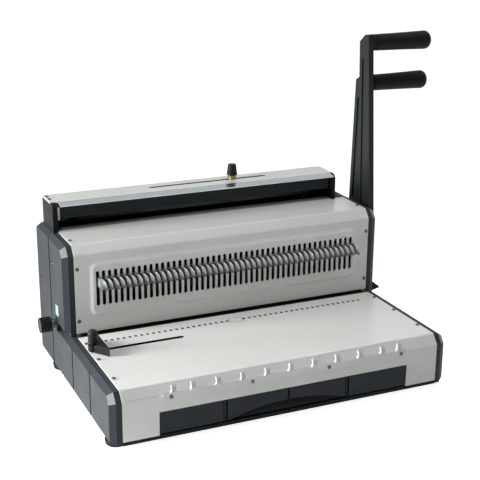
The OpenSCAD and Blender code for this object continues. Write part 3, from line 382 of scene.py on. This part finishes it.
def cad_copy(node):
    """Welded copy of a CAD node's mesh, with its flat faces joined."""
    bm = bmesh.new()
    bm.from_mesh(NODES[node].data)
    bmesh.ops.remove_doubles(bm, verts=bm.verts, dist=WELD)
    bmesh.ops.dissolve_limit(bm, angle_limit=FLAT, verts=bm.verts, edges=bm.edges,
        use_dissolve_boundaries=False)
    bm.loops.layers.float.new("edge")
    return bm


def round_edges(bm, width, segments=2, least=SHARP, wanted=None):
    """Rounds the edges that turn by at least this many degrees; wanted(edge) may narrow them."""
    mark = bm.loops.layers.float["edge"]
    edges = [e for e in bm.edges if len(e.link_faces) == 2
        and e.calc_face_angle(0) > math.radians(least) and (wanted is None or wanted(e))]
    made = bmesh.ops.bevel(bm, geom=edges, offset=width * MM, offset_type="OFFSET", segments=segments,
        profile=0.5, affect="EDGES", clamp_overlap=True)
    for face in made["faces"]:
        for loop in face.loops:
            loop[mark] = 1.0


def piece(name, bm, slot, body, replaced=(), material=None, smooth=40):
    """Makes a finished object of the mesh, on its body and with its slot's material."""
    if "edge" not in bm.loops.layers.float:
        bm.loops.layers.float.new("edge")
    bmesh.ops.recalc_face_normals(bm, faces=bm.faces)
    mesh = bpy.data.meshes.new(name)
    bm.to_mesh(mesh)
    bm.free()
    mesh.polygons.foreach_set("use_smooth", [True] * len(mesh.polygons))
    mesh.set_sharp_from_angle(angle=math.radians(smooth))
    mesh.materials.append(material or FINISH[slot])
    obj = bpy.data.objects.new(name, mesh)
    bpy.context.scene.collection.objects.link(obj)
    normals = obj.modifiers.new("normals", "WEIGHTED_NORMAL")
    normals.keep_sharp = True
    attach(obj, body)
    if replaced:
        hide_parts(*replaced)
    return obj


def dress(node, width, segments=2, bends=None, bend_width=0.0, material=None):
    """Replaces a CAD node by its copy with rounded edges; bends(edge) picks its wider bends."""
    bm = cad_copy(node)
    if bends:
        round_edges(bm, bend_width, BEND_SEGMENTS, SOFT_BEND, bends)
    round_edges(bm, width, segments)
    return piece("skin_" + node, bm, SLOT[node], BODY[node], [node], material)


def second_finish(obj, material, wanted):
    """Gives the faces that wanted(middle in millimetres, normal) picks another finish."""
    to_mm = TO_FRAME.inverted()
    obj.data.materials.append(material)
    last = len(obj.data.materials) - 1
    for face in obj.data.polygons:
        if wanted(to_mm @ face.center, face.normal):
            face.material_index = last


def join_rings(bm, first, second):
    """Faces between two rings of points; a ring of one point is a tip."""
    count = max(len(first), len(second))
    for i in range(count):
        corners = [first[i % len(first)], first[(i + 1) % len(first)],
            second[(i + 1) % len(second)], second[i % len(second)]]
        bm.faces.new(dict.fromkeys(corners))


def lathe(bm, profile, place, steps=40):
    """Turned solid from (radius, height) points that start and end on the axis."""
    rings = []
    for radius, height in profile:
        angles = [math.tau * i / steps for i in range(steps)] if radius else [0]
        rings.append([bm.verts.new(place @ Vector((radius * math.cos(a), radius * math.sin(a), height)))
            for a in angles])
    for first, second in zip(rings, rings[1:]):
        join_rings(bm, first, second)


def arc(radius, centre_r, centre_h, start, end, count):
    """Points of an arc in a lathe profile, angles in degrees from the radius axis."""
    angles = [math.radians(start + (end - start) * i / count) for i in range(count + 1)]
    return [(centre_r + radius * math.cos(a), centre_h + radius * math.sin(a)) for a in angles]


def pointing(place, axis):
    """Frame matrix that sets a shape in millimetres at a place, with its +Z along axis."""
    turn = Vector(axis).to_track_quat("Z", "Y").to_matrix().to_4x4()
    return Matrix.Translation(place) @ turn @ Matrix.Diagonal((MM, MM, MM, 1))


def box(bm, low, high):
    """Block between two corners in millimetres."""
    size = Vector(high) - Vector(low)
    middle = (Vector(high) + Vector(low)) / 2
    bmesh.ops.create_cube(bm, size=1,
        matrix=TO_FRAME @ Matrix.Translation(middle) @ Matrix.Diagonal((*size, 1)))


# Sheet covers and housing
FOLD_LEAST = 250.0
FOLD_TURN = 1.2
FIELD_TURN = math.radians(50)

# Parts of a face's normal that tell which way the face looks
UPWARD = 0.5
SEAM_UPRIGHT = 0.3
CORNER_SIDE = (0.4, 0.65)
CORNER_TILT = 0.35


def long_fold(edge):
    """Long fold line of a cover, away from the sheet's own ends."""
    a, b = edge.verts
    along = abs(a.co.x - b.co.x) > FOLD_LEAST * MM and abs(a.co.y - b.co.y) < WELD
    return along and edge.calc_face_angle(0) < FOLD_TURN


def soft_fold(edge):
    """Fold line of a cover or edge of its raised field."""
    raised = all(-FIELD_RISE * MM - WELD < v.co.y - PANEL_Y < WELD for v in edge.verts)
    return long_fold(edge) or (raised and edge.calc_face_angle(0) < FIELD_TURN)


def in_slot(middle, normal, slot_y, reach):
    """Wall of a long slot that runs along X in a level sheet."""
    near = abs(middle.y - slot_y) < SLOT_NEAR and abs(middle.x) < reach
    return near and abs(normal.z) < UPWARD


def cap_corner(normal):
    """Small facet that faces sideways, forward and up at the front corner of a cap's bevel."""
    sideways = CORNER_SIDE[0] < abs(normal.x) < CORNER_SIDE[1]
    return sideways and normal.y < -CORNER_TILT and normal.z > CORNER_TILT


def drawer_seam(middle, normal):
    """Floor or wall of an upright seam in the drawer's front."""
    return SEAM_TOP < middle.y + TABLE_D < SEAM_FLOOR and abs(normal.z) < SEAM_UPRIGHT


table = dress("table_cover", SHEET_EDGE, 2, long_fold, TABLE_BEND)
# Walls of the guide slot are near-black: painted shade in the slot
second_finish(table, PAINTED_SHADE_BLACK, lambda p, n: in_slot(p, n, GUIDE_SLOT_Y, GUIDE_SLOT_REACH))
dress("front_cover", SHEET_EDGE, 4, soft_fold, FRONT_BEND)
cover = dress("top_cover", SHEET_EDGE)
# Walls of the size slot are grey: painted shade in the slot
second_finish(cover, SIZE_SLOT_PAINTED_SHADE, lambda p, n: in_slot(p, n, SIZE_SLOT_Y, SIZE_SLOT_REACH))
dress("closer_lip", FINE_EDGE, material=POLISHED)
for node in ("left_cap", "right_cap"):
    cap = dress(node, CAP_EDGE, 3)
    # Front corner facets of the caps get a pale finish: a painted highlight
    second_finish(cap, CAP_CORNER_HIGHLIGHT, lambda p, n: cap_corner(n))
for node in ("base_plate", "rear_cover", "side_bracket"):
    dress(node, SHEET_EDGE)
# The anvil and back are lightened: painted light in the gap under the closing bar
for node in ("closer_anvil", "closer_back"):
    dress(node, SHEET_EDGE, material=CLOSER_INSIDE_PAINTED_LIGHT)
for node in ("closer_end_left", "closer_end_right"):
    dress(node, PLASTIC_EDGE, 3)
dress("closing_bar", PLASTIC_EDGE, 3, material=BAR_BLACK)
# The left guide's bright steel strip is a painted highlight, standing for the end plate's lit rounding
guides = dress("closer_guides", FINE_EDGE, material=FINISH["frame_steel"])
# The right guide is black
second_finish(guides, FINISH["black_sheet"], lambda p, n: p.x > 0)

# Drawer, pegs, guide and knobs
drawer = dress("drawer_front", DRAWER_EDGE, 3)
# Floors and walls of the drawer's seams are near-black: painted shade in the grooves
second_finish(drawer, PAINTED_SHADE_BLACK, drawer_seam)
pegs = dress("peg_strip", PLASTIC_EDGE, 3)
second_finish(pegs, FINISH["white_sheet"], lambda p, n: p.z < TABLE_Z - PEG_FOOT)
# The strip's upward faces are darkened: painted shade
second_finish(pegs, PEG_TOP_PAINTED_SHADE, lambda p, n: n.z > UPWARD and p.z < TABLE_Z - PEG_FOOT)
dress("paper_guide", PLASTIC_EDGE, 3)
dress("margin_knob", FINE_EDGE)
dress("feet", CAP_EDGE, 3)

# Levers
for node in ("punch_lever", "bind_lever"):
    dress(node, LEVER_EDGE, 3)
for node in ("punch_lever_bolt", "bind_lever_bolt"):
    dress(node, SHEET_EDGE, 3)


GRIP_TAPER = 1.25
GRIP_ROUNDING = 6.6
GRIP_CROWN = 0.6
GRIP_WAIST = 0.2
GRIP_COLLAR_ROUND = 1.0
GRIP_COLLAR = 3.4
GRIP_GROOVE = (3.9, 5.0)
GRIP_NECK = 5.6
GRIP_STEPS = 12
GRIP_SIDES = 48


def left_end(low, high):
    """Middle of a box's left end."""
    return Vector((low.x, (low.y + high.y) / 2, (low.z + high.z) / 2))


def grip(node):
    """Moulded grip with a collar, a groove, a slight waist and a round end."""
    low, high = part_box(node)
    length = (high.x - low.x) / MM
    end_r = (high.z - low.z) / MM / 2
    root_r = end_r - GRIP_TAPER
    groove_r = root_r - GRIP_COLLAR_ROUND
    profile = [(0, 0), (groove_r, 0)]
    profile += arc(GRIP_COLLAR_ROUND, groove_r, GRIP_COLLAR_ROUND, -90, 0, 4)
    profile += [(root_r, GRIP_COLLAR), (groove_r, GRIP_GROOVE[0]), (groove_r, GRIP_GROOVE[1])]
    profile.append((root_r - 0.1, GRIP_NECK))
    body = length - GRIP_CROWN - GRIP_ROUNDING
    for i in range(1, GRIP_STEPS + 1):
        t = i / GRIP_STEPS
        waist = GRIP_WAIST * math.sin(math.pi * t)
        profile.append((root_r + (end_r - root_r) * t - waist, GRIP_NECK + (body - GRIP_NECK) * t))
    profile += arc(GRIP_ROUNDING, end_r - GRIP_ROUNDING, body, 10, 84, 8)
    profile.append((0, length))
    bm = bmesh.new()
    lathe(bm, profile, pointing(left_end(low, high), (1, 0, 0)), GRIP_SIDES)
    piece("skin_" + node, bm, SLOT[node], BODY[node], [node])


grip("punch_grip")
grip("bind_grip")


def turned(node, profile, axis=(0, 0, 1), start=None, material=None):
    """Replaces a CAD node by a turned piece that starts at the low end of its box."""
    low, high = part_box(node)
    foot = start or Vector(((low.x + high.x) / 2, (low.y + high.y) / 2, low.z))
    bm = bmesh.new()
    lathe(bm, profile, pointing(foot, axis))
    piece("skin_" + node, bm, SLOT[node], BODY[node], [node], material)


# Knob of the size stop: tapered, with a waist line and a soft top
turned("size_knob", [(0, 0), (5.5, 0), (6.0, 0.5), (6.05, 1.6), (5.65, 3.4), (5.3, 3.7), (5.5, 4.1),
    (5.2, 7.0), (4.9, 9.9), (4.65, 11.5), (4.2, 12.3), (3.2, 12.6), (0, 12.6)])

# Clamp knob of the paper guide, on its stud and nut
CLAMP_H = 16
CLAMP_R = 5.1
STUD_R = 2.0
NUT_R = 3.5
clamp_low, clamp_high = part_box("guide_clamp_knob")
clamp_top = (clamp_high.z - clamp_low.z) / MM
clamp_base = clamp_top - CLAMP_H
nut = [(0, 0), (NUT_R - 0.3, 0), (NUT_R, 0.3), (NUT_R, 2.7), (NUT_R - 0.3, 3.0), (STUD_R, 3.0)]
grip_of_clamp = [(STUD_R, 0), (3.4, 0), (3.7, 0.4), (3.7, 1.6), (4.7, 2.4), (CLAMP_R, 3.2),
    (4.85, 6.5), (5.0, 9.5)]
clamp_side = [(radius, clamp_base + height) for radius, height in grip_of_clamp]
clamp_dome = arc(CLAMP_R, 0, clamp_top - CLAMP_R, 8, 82, 8)
turned("guide_clamp_knob", nut + clamp_side + clamp_dome + [(0, clamp_top)])

# Brass collars with chamfered ends and a turned line
COLLAR_CHAMFER = 0.4
SIZE_COLLAR_R = 4.5
MARGIN_COLLAR_R = 6.0
size_low, size_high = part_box("size_collar")
collar_h = (size_high.z - size_low.z) / MM
collar_end_r = SIZE_COLLAR_R - COLLAR_CHAMFER
turned("size_collar", [(0, 0), (collar_end_r, 0), (SIZE_COLLAR_R, COLLAR_CHAMFER),
    (SIZE_COLLAR_R, 2.2), (SIZE_COLLAR_R - 0.25, 2.5), (SIZE_COLLAR_R, 2.8),
    (SIZE_COLLAR_R, collar_h - COLLAR_CHAMFER), (collar_end_r, collar_h), (0, collar_h)])
margin_low, margin_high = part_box("margin_collar")
margin_len = (margin_high.x - margin_low.x) / MM
turned("margin_collar", [(0, 0), (4.9, 0), (5.3, COLLAR_CHAMFER), (5.3, 3.0), (5.0, 3.3), (5.0, 3.7),
    (5.6, 4.0), (MARGIN_COLLAR_R, 4.4), (MARGIN_COLLAR_R, margin_len - COLLAR_CHAMFER),
    (MARGIN_COLLAR_R - COLLAR_CHAMFER, margin_len), (0, margin_len)],
    (1, 0, 0), left_end(margin_low, margin_high), AGED_BRASS)


# Hooks
def hole_x(i):
    """Place of a hole along the row, counted from the left."""
    return (i - (HOLES - 1) / 2) * PITCH


def hook_stations():
    """Plan points of one hook, each with the direction across it and its share of the bend."""
    stations = [(0.0, HOOK_PLATE_Y, -1.0, 0.0, 0.0), (0.0, -HOOK_OUT, -1.0, 0.0, 0.0)]
    for i in range(1, HOOK_STEPS + 1):
        t = i / HOOK_STEPS
        a = math.radians(180 + HOOK_SWEEP * t)
        stations.append((HOOK_R + HOOK_R * math.cos(a), -HOOK_OUT + HOOK_R * math.sin(a),
            math.cos(a), math.sin(a), t))
    return stations


def hook_highlight(t):
    """How strong the upper edge's painted highlight is along a hook: none at the root, full near the
    tip.
    """
    return min(1, max(0, (t - HIGHLIGHT_START) / HIGHLIGHT_RUN))


def hook(bm, x):
    """One bent finger that curls down to its tip and leans back a little."""
    rings = []
    chamfer = HOOK_CHAMFER
    fall = HOOK_H + HOOK_DROOP - HOOK_TIP_H
    for px, py, nx, ny, t in hook_stations():
        half = HOOK_T / 2 * (1 - HOOK_THINNING * t * t)
        low = HOOK_Z - HOOK_DROOP * (1 - (1 - t) ** HOOK_DROOP_CURVE)
        high = HOOK_Z + HOOK_H - fall * (1 - math.sqrt(1 - t * t))
        section = [(-half, low + chamfer), (-half + chamfer, low), (half - chamfer, low)]
        section += [(half, low + chamfer), (half, high - chamfer), (half - chamfer, high)]
        section += [(chamfer - half, high), (-half, high - chamfer)]
        section = [(s - HOOK_LEAN * min(1, 2 * t) * (z - low) / HOOK_H, z) for s, z in section]
        ring = [Vector((x + px + nx * s, py + ny * s, z)) for s, z in section]
        rings.append([bm.verts.new(TO_FRAME @ point) for point in ring])
    mark = bm.loops.layers.float["edge"]
    for i, (first, second) in enumerate(zip(rings, rings[1:])):
        start = len(bm.faces)
        join_rings(bm, first, second)
        bm.faces.ensure_lookup_table()
        t = i / len(rings)
        middle = (first[0].co.z + first[4].co.z) / 2
        # Painted highlight: full on the upper half of the section, fainter below until the tip
        for k in HOOK_HIGHLIT:
            for loop in bm.faces[start + k].loops:
                share = 1.0 if loop.vert.co.z > middle else TIP_HIGHLIGHT * t ** TIP_HIGHLIGHT_CURVE
                loop[mark] = share * hook_highlight(t)
    bm.faces.new(rings[0])
    bm.faces.new(rings[-1])


# Outer face and upper edge of a hook's section, which get the painted highlight
HOOK_HIGHLIT = (3, 4, 5)
hooks = bmesh.new()
hooks.loops.layers.float.new("edge")
comb_low, comb_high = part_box("hook_comb")
plate_half = (comb_high.x - comb_low.x) / MM / 2
box(hooks, (-plate_half, HOOK_PLATE_Y, HOOK_Z - HOOK_PLATE_OVER),
    (plate_half, HOOK_PLATE_Y + HOOK_PLATE_T, HOOK_Z + HOOK_H + HOOK_PLATE_OVER))
for i in range(HOLES):
    hook(hooks, hole_x(i))
comb = piece("skin_hook_comb", hooks, SLOT["hook_comb"], BODY["hook_comb"], ["hook_comb"], HOOK_STEEL_PAINTED_LIGHT)
# Hook roots and the plate behind the panel are blackened: painted shade inside the slots
second_finish(comb, BLACK_OXIDE_AND_PAINTED_SHADE, lambda p, n: p.y > ROOT_Y)


# Screws
def islands(node):
    """Points of each separate solid of a CAD node."""
    bm = cad_copy(node)
    left = set(bm.verts)
    found = []
    while left:
        open_verts = [left.pop()]
        points = []
        while open_verts:
            vert = open_verts.pop()
            points.append(vert.co.copy())
            for e in vert.link_edges:
                other = e.other_vert(vert)
                if other in left:
                    left.remove(other)
                    open_verts.append(other)
        found.append(points)
    bm.free()
    return found


def screw_place(points):
    """Middle of a screw head's underside, its outward axis and the shank's length in millimetres."""
    low = Vector([min(p[k] for p in points) for k in range(3)])
    high = Vector([max(p[k] for p in points) for k in range(3)])
    size = high - low
    spread = sorted(size)
    across = spread[1] if abs(spread[1] - spread[0]) < abs(spread[2] - spread[1]) else spread[2]
    k = max(range(3), key=lambda i: abs(size[i] - across))
    middle = (low + high) / 2
    others = [i for i in range(3) if i != k]
    wide = [p for p in points
        if math.dist([p[i] for i in others], [middle[i] for i in others]) > across * HEAD_SHARE]
    head = sum(p[k] for p in wide) / len(wide)
    sign = 1 if head > middle[k] else -1
    under = middle.copy()
    under[k] = min(p[k] for p in wide) if sign > 0 else max(p[k] for p in wide)
    axis = Vector([sign if i == k else 0 for i in range(3)])
    return under, axis, (size[k] / MM) - SCREW_HEAD_H


def screw(bm, under, axis, shank):
    """Pan head with a cross recess, on its shank."""
    place = pointing(under, axis)
    profile = [(0, -shank), (SCREW_SHANK_R - 0.2, -shank), (SCREW_SHANK_R, 0.2 - shank),
        (SCREW_SHANK_R, 0), (SCREW_HEAD_R, 0), (SCREW_HEAD_R, 0.3), (SCREW_HEAD_R - 0.07, 0.56),
        (SCREW_HEAD_R - 0.23, 0.8), (SCREW_HEAD_R - 0.45, 0.98), (SCREW_HEAD_R - 0.7, SCREW_HEAD_H)]
    start = len(bm.verts)
    lathe(bm, profile, place, SCREW_STEPS)
    bm.verts.ensure_lookup_table()
    ring = [bm.verts[start + 1 + (len(profile) - 2) * SCREW_STEPS + i] for i in range(SCREW_STEPS)]
    cross = []
    floor = []
    corners = ((CROSS_ARM, -CROSS_HALF), (CROSS_ARM, CROSS_HALF), (CROSS_HALF, CROSS_HALF))
    for quarter in range(4):
        turn = place @ Matrix.Rotation(math.pi / 2 * quarter, 4, "Z")
        for x, y in corners:
            cross.append(bm.verts.new(turn @ Vector((x, y, SCREW_HEAD_H))))
            deep = Vector((x * CROSS_TAPER, y * CROSS_TAPER, SCREW_HEAD_H - CROSS_DEEP))
            floor.append(bm.verts.new(turn @ deep))
    corner = SCREW_STEPS // 8
    for quarter in range(4):
        first = quarter * SCREW_STEPS // 4
        c = cross[quarter * 3:quarter * 3 + 3]
        following = cross[(quarter * 3 + 3) % 12]
        at = [ring[(first + i) % SCREW_STEPS] for i in range(-1, SCREW_STEPS // 4)]
        bm.faces.new([at[0], at[1], at[2], c[1], c[0]])
        bm.faces.new(at[2:corner + 2] + [c[2], c[1]])
        bm.faces.new(at[corner + 1:] + [following, c[2]])
    join_rings(bm, cross, floor)
    bm.faces.new(floor)


SCREW_FINISH = {"table_screws": SCREW_GREY, "front_screws": SCREW_GREY}
for node in ("panel_screws", "table_screws", "front_screws", "top_screws", "cap_screws"):
    bm = bmesh.new()
    for points in islands(node):
        screw(bm, *screw_place(points))
    finish = SCREW_FINISH.get(node, FINISH[SLOT[node]])
    piece("skin_" + node, bm, SLOT[node], BODY[node], [node], finish, smooth=30)


# Marks on the table, one per hole, with a thin frame round the middle ones
def mark_ring(outline):
    """Points of an outline at the height of the marks."""
    return [marks.verts.new(TO_FRAME @ Vector((x, y, MARK_Z))) for x, y in outline]


def rounded_frame(inset, steps=8):
    """Outline with round corners about the middle of the row of marks."""
    points = []
    for quarter, (sx, sy) in enumerate(((1, 1), (-1, 1), (-1, -1), (1, -1))):
        for i in range(steps + 1):
            a = math.pi / 2 * (quarter + i / steps)
            points.append((FRAME_X + sx * (FRAME_W / 2 - FRAME_R) + (FRAME_R - inset) * math.cos(a),
                MARK_Y + sy * (FRAME_D / 2 - FRAME_R) + (FRAME_R - inset) * math.sin(a)))
    return points


marks = bmesh.new()
for i in range(HOLES):
    x = hole_x(i)
    if abs(x - FRAME_X) > FRAME_W / 2:
        marks.faces.new(mark_ring([(x - MARK_X, MARK_Y - MARK_HALF), (x + MARK_X, MARK_Y - MARK_HALF),
            (x + MARK_X, MARK_Y + MARK_HALF), (x - MARK_X, MARK_Y + MARK_HALF)]))
join_rings(marks, mark_ring(rounded_frame(0)), mark_ring(rounded_frame(FRAME_LINE)))
piece("table_marks", marks, "black_plastic", "machine_body", material=MARK_INK)

# Plain label on the left cap, with nothing printed on it
label = bmesh.new()
box(label, (-CAP_X - LABEL_T, LABEL_Y[0], LABEL_Z[0]), (-CAP_X, LABEL_Y[1], LABEL_Z[1]))
label.loops.layers.float.new("edge")
round_edges(label, LABEL_EDGE)
piece("blank_label", label, "peg_white", "machine_body", material=LABEL_FILM)

# Inside parts keep their CAD shapes; the tools among them are blackened
# On the pinions and on the parts seen through the slots, this black is painted shade
BLACKENED = ("die_block", "hook_arms", "bind_pinions", "punch_ram", "punch_pins", "punch_guide_plate")
for name, node in NODES.items():
    if not node.hide_render:
        node.data.materials.clear()
        node.data.materials.append(BLACK_OXIDE_AND_PAINTED_SHADE if name in BLACKENED else FINISH[SLOT[name]])


# Studio
def add_light(name, place, target, size, power, spread=180):
    """Rectangular lamp that faces a target; the spread is in degrees."""
    lamp = bpy.data.lights.new(name, "AREA")
    lamp.shape = "RECTANGLE"
    lamp.size, lamp.size_y = size
    lamp.energy = power
    lamp.spread = math.radians(spread)
    obj = bpy.data.objects.new(name, lamp)
    obj.location = place
    obj.rotation_mode = "QUATERNION"
    obj.rotation_quaternion = (Vector(target) - Vector(place)).to_track_quat("-Z", "Y")
    bpy.context.scene.collection.objects.link(obj)


def seen_directly(tree, kinds):
    """1 for rays of the named kinds, 0 for the others."""
    path = tree.nodes.new("ShaderNodeLightPath")
    total = None
    for kind in kinds:
        if total is None:
            total = path.outputs[kind]
            continue
        node = tree.nodes.new("ShaderNodeMath")
        node.operation = "MAXIMUM"
        tree.links.new(total, node.inputs[0])
        tree.links.new(path.outputs[kind], node.inputs[1])
        total = node.outputs["Value"]
    return total


def strength(tree, factor, low, high):
    """Light strength from low to high as the factor goes from 0 to 1."""
    node = tree.nodes.new("ShaderNodeMapRange")
    node.inputs["To Min"].default_value = low
    node.inputs["To Max"].default_value = high
    tree.links.new(factor, node.inputs["Value"])
    return node.outputs["Result"]


def white_but_in_front(tree):
    """Reflected world: white all round but for the darker room in front of the object."""
    place = tree.nodes.new("ShaderNodeTexCoord").outputs["Generated"]
    parts = tree.nodes.new("ShaderNodeSeparateXYZ")
    tree.links.new(place, parts.inputs["Vector"])
    node = tree.nodes.new("ShaderNodeMapRange")
    node.inputs["From Min"].default_value = ROOM_DARK_Y
    node.inputs["From Max"].default_value = ROOM_WHITE_Y
    node.inputs["To Min"].default_value = FRONT_ROOM
    tree.links.new(parts.outputs["Y"], node.inputs["Value"])
    return node.outputs["Result"]


DIRECT = ("Is Camera Ray", "Is Glossy Ray", "Is Transmission Ray")
WORLD_LIGHT = 0.1
FRONT_ROOM = 0.15
ROOM_DARK_Y = -0.8
ROOM_WHITE_Y = -0.1
FLOOR_GLOW = 0.92
FLOOR_HALF = 6.0

world = bpy.data.worlds.new("studio")
bpy.context.scene.world = world
world.use_nodes = True
back = world.node_tree.nodes["Background"]
back.inputs["Color"].default_value = (1, 1, 1, 1)
glow = strength(world.node_tree, seen_directly(world.node_tree, DIRECT), WORLD_LIGHT, 1.0)
world.node_tree.links.new(white_but_in_front(world.node_tree), glow.node.inputs["To Max"])
seen = strength(world.node_tree, seen_directly(world.node_tree, DIRECT[:1]), WORLD_LIGHT, 1.0)
world.node_tree.links.new(glow, seen.node.inputs["To Min"])
world.node_tree.links.new(seen, back.inputs["Strength"])


def floor_material():
    """Pale floor that looks white to the camera but keeps the object's shadow."""
    m = Material("floor")
    m.join(m.blend(m.span(m.noise(400, 3), 0, 1), (0.86, 0.86, 0.86), (0.85, 0.85, 0.85)),
        m.shader.inputs["Base Color"])
    m.put("Roughness", 0.9)
    m.put("Emission Color", (1, 1, 1, 1))
    glow_at = strength(m.tree, seen_directly(m.tree, DIRECT), 0, FLOOR_GLOW)
    m.join(glow_at, m.shader.inputs["Emission Strength"])
    return m.data


floor_mesh = bpy.data.meshes.new("floor")
floor_mesh.from_pydata([(-FLOOR_HALF, -FLOOR_HALF, 0), (FLOOR_HALF, -FLOOR_HALF, 0),
    (FLOOR_HALF, FLOOR_HALF, 0), (-FLOOR_HALF, FLOOR_HALF, 0)], [], [(0, 1, 2, 3)])
floor_mesh.materials.append(floor_material())
floor = bpy.data.objects.new("floor", floor_mesh)
bpy.context.scene.collection.objects.link(floor)

add_light("overhead", place=(0.05, -0.35, 1.45), target=(0.0, 0.0, 0.08), size=(1.2, 0.8), power=8.5)
add_light("left", place=(-1.1, 0.09, 0.31), target=(-0.1, -0.2, 0.05), size=(0.36, 0.5), power=2.9,
    spread=54)
bpy.context.scene.view_settings.view_transform = "Standard"

# Camera, set where the photograph was taken from
YAW = math.radians(24.207)
PITCH_DOWN = math.radians(17.839)
ROLL = math.radians(0.368)
EYE = (-438.36, -1001.83, 492.48)
LENS = 81.468
SENSOR = 36
NEAR_CLIP = 0.05
forward = Vector((math.sin(YAW) * math.cos(PITCH_DOWN), math.cos(YAW) * math.cos(PITCH_DOWN),
    -math.sin(PITCH_DOWN)))
level = Vector((math.cos(YAW), -math.sin(YAW), 0))
upward = level.cross(forward)
right = level * math.cos(ROLL) + upward * math.sin(ROLL)
up = upward * math.cos(ROLL) - level * math.sin(ROLL)
camera_data = bpy.data.cameras.new("camera")
camera_data.lens = LENS
camera_data.sensor_width = SENSOR
camera_data.clip_start = NEAR_CLIP
camera = bpy.data.objects.new("camera", camera_data)
eye = TO_FRAME @ Vector(EYE)
turn = Matrix((right, up, -forward)).transposed().to_4x4()
camera.matrix_world = Matrix.Translation(eye) @ turn
bpy.context.scene.collection.objects.link(camera)
bpy.context.scene.camera = camera
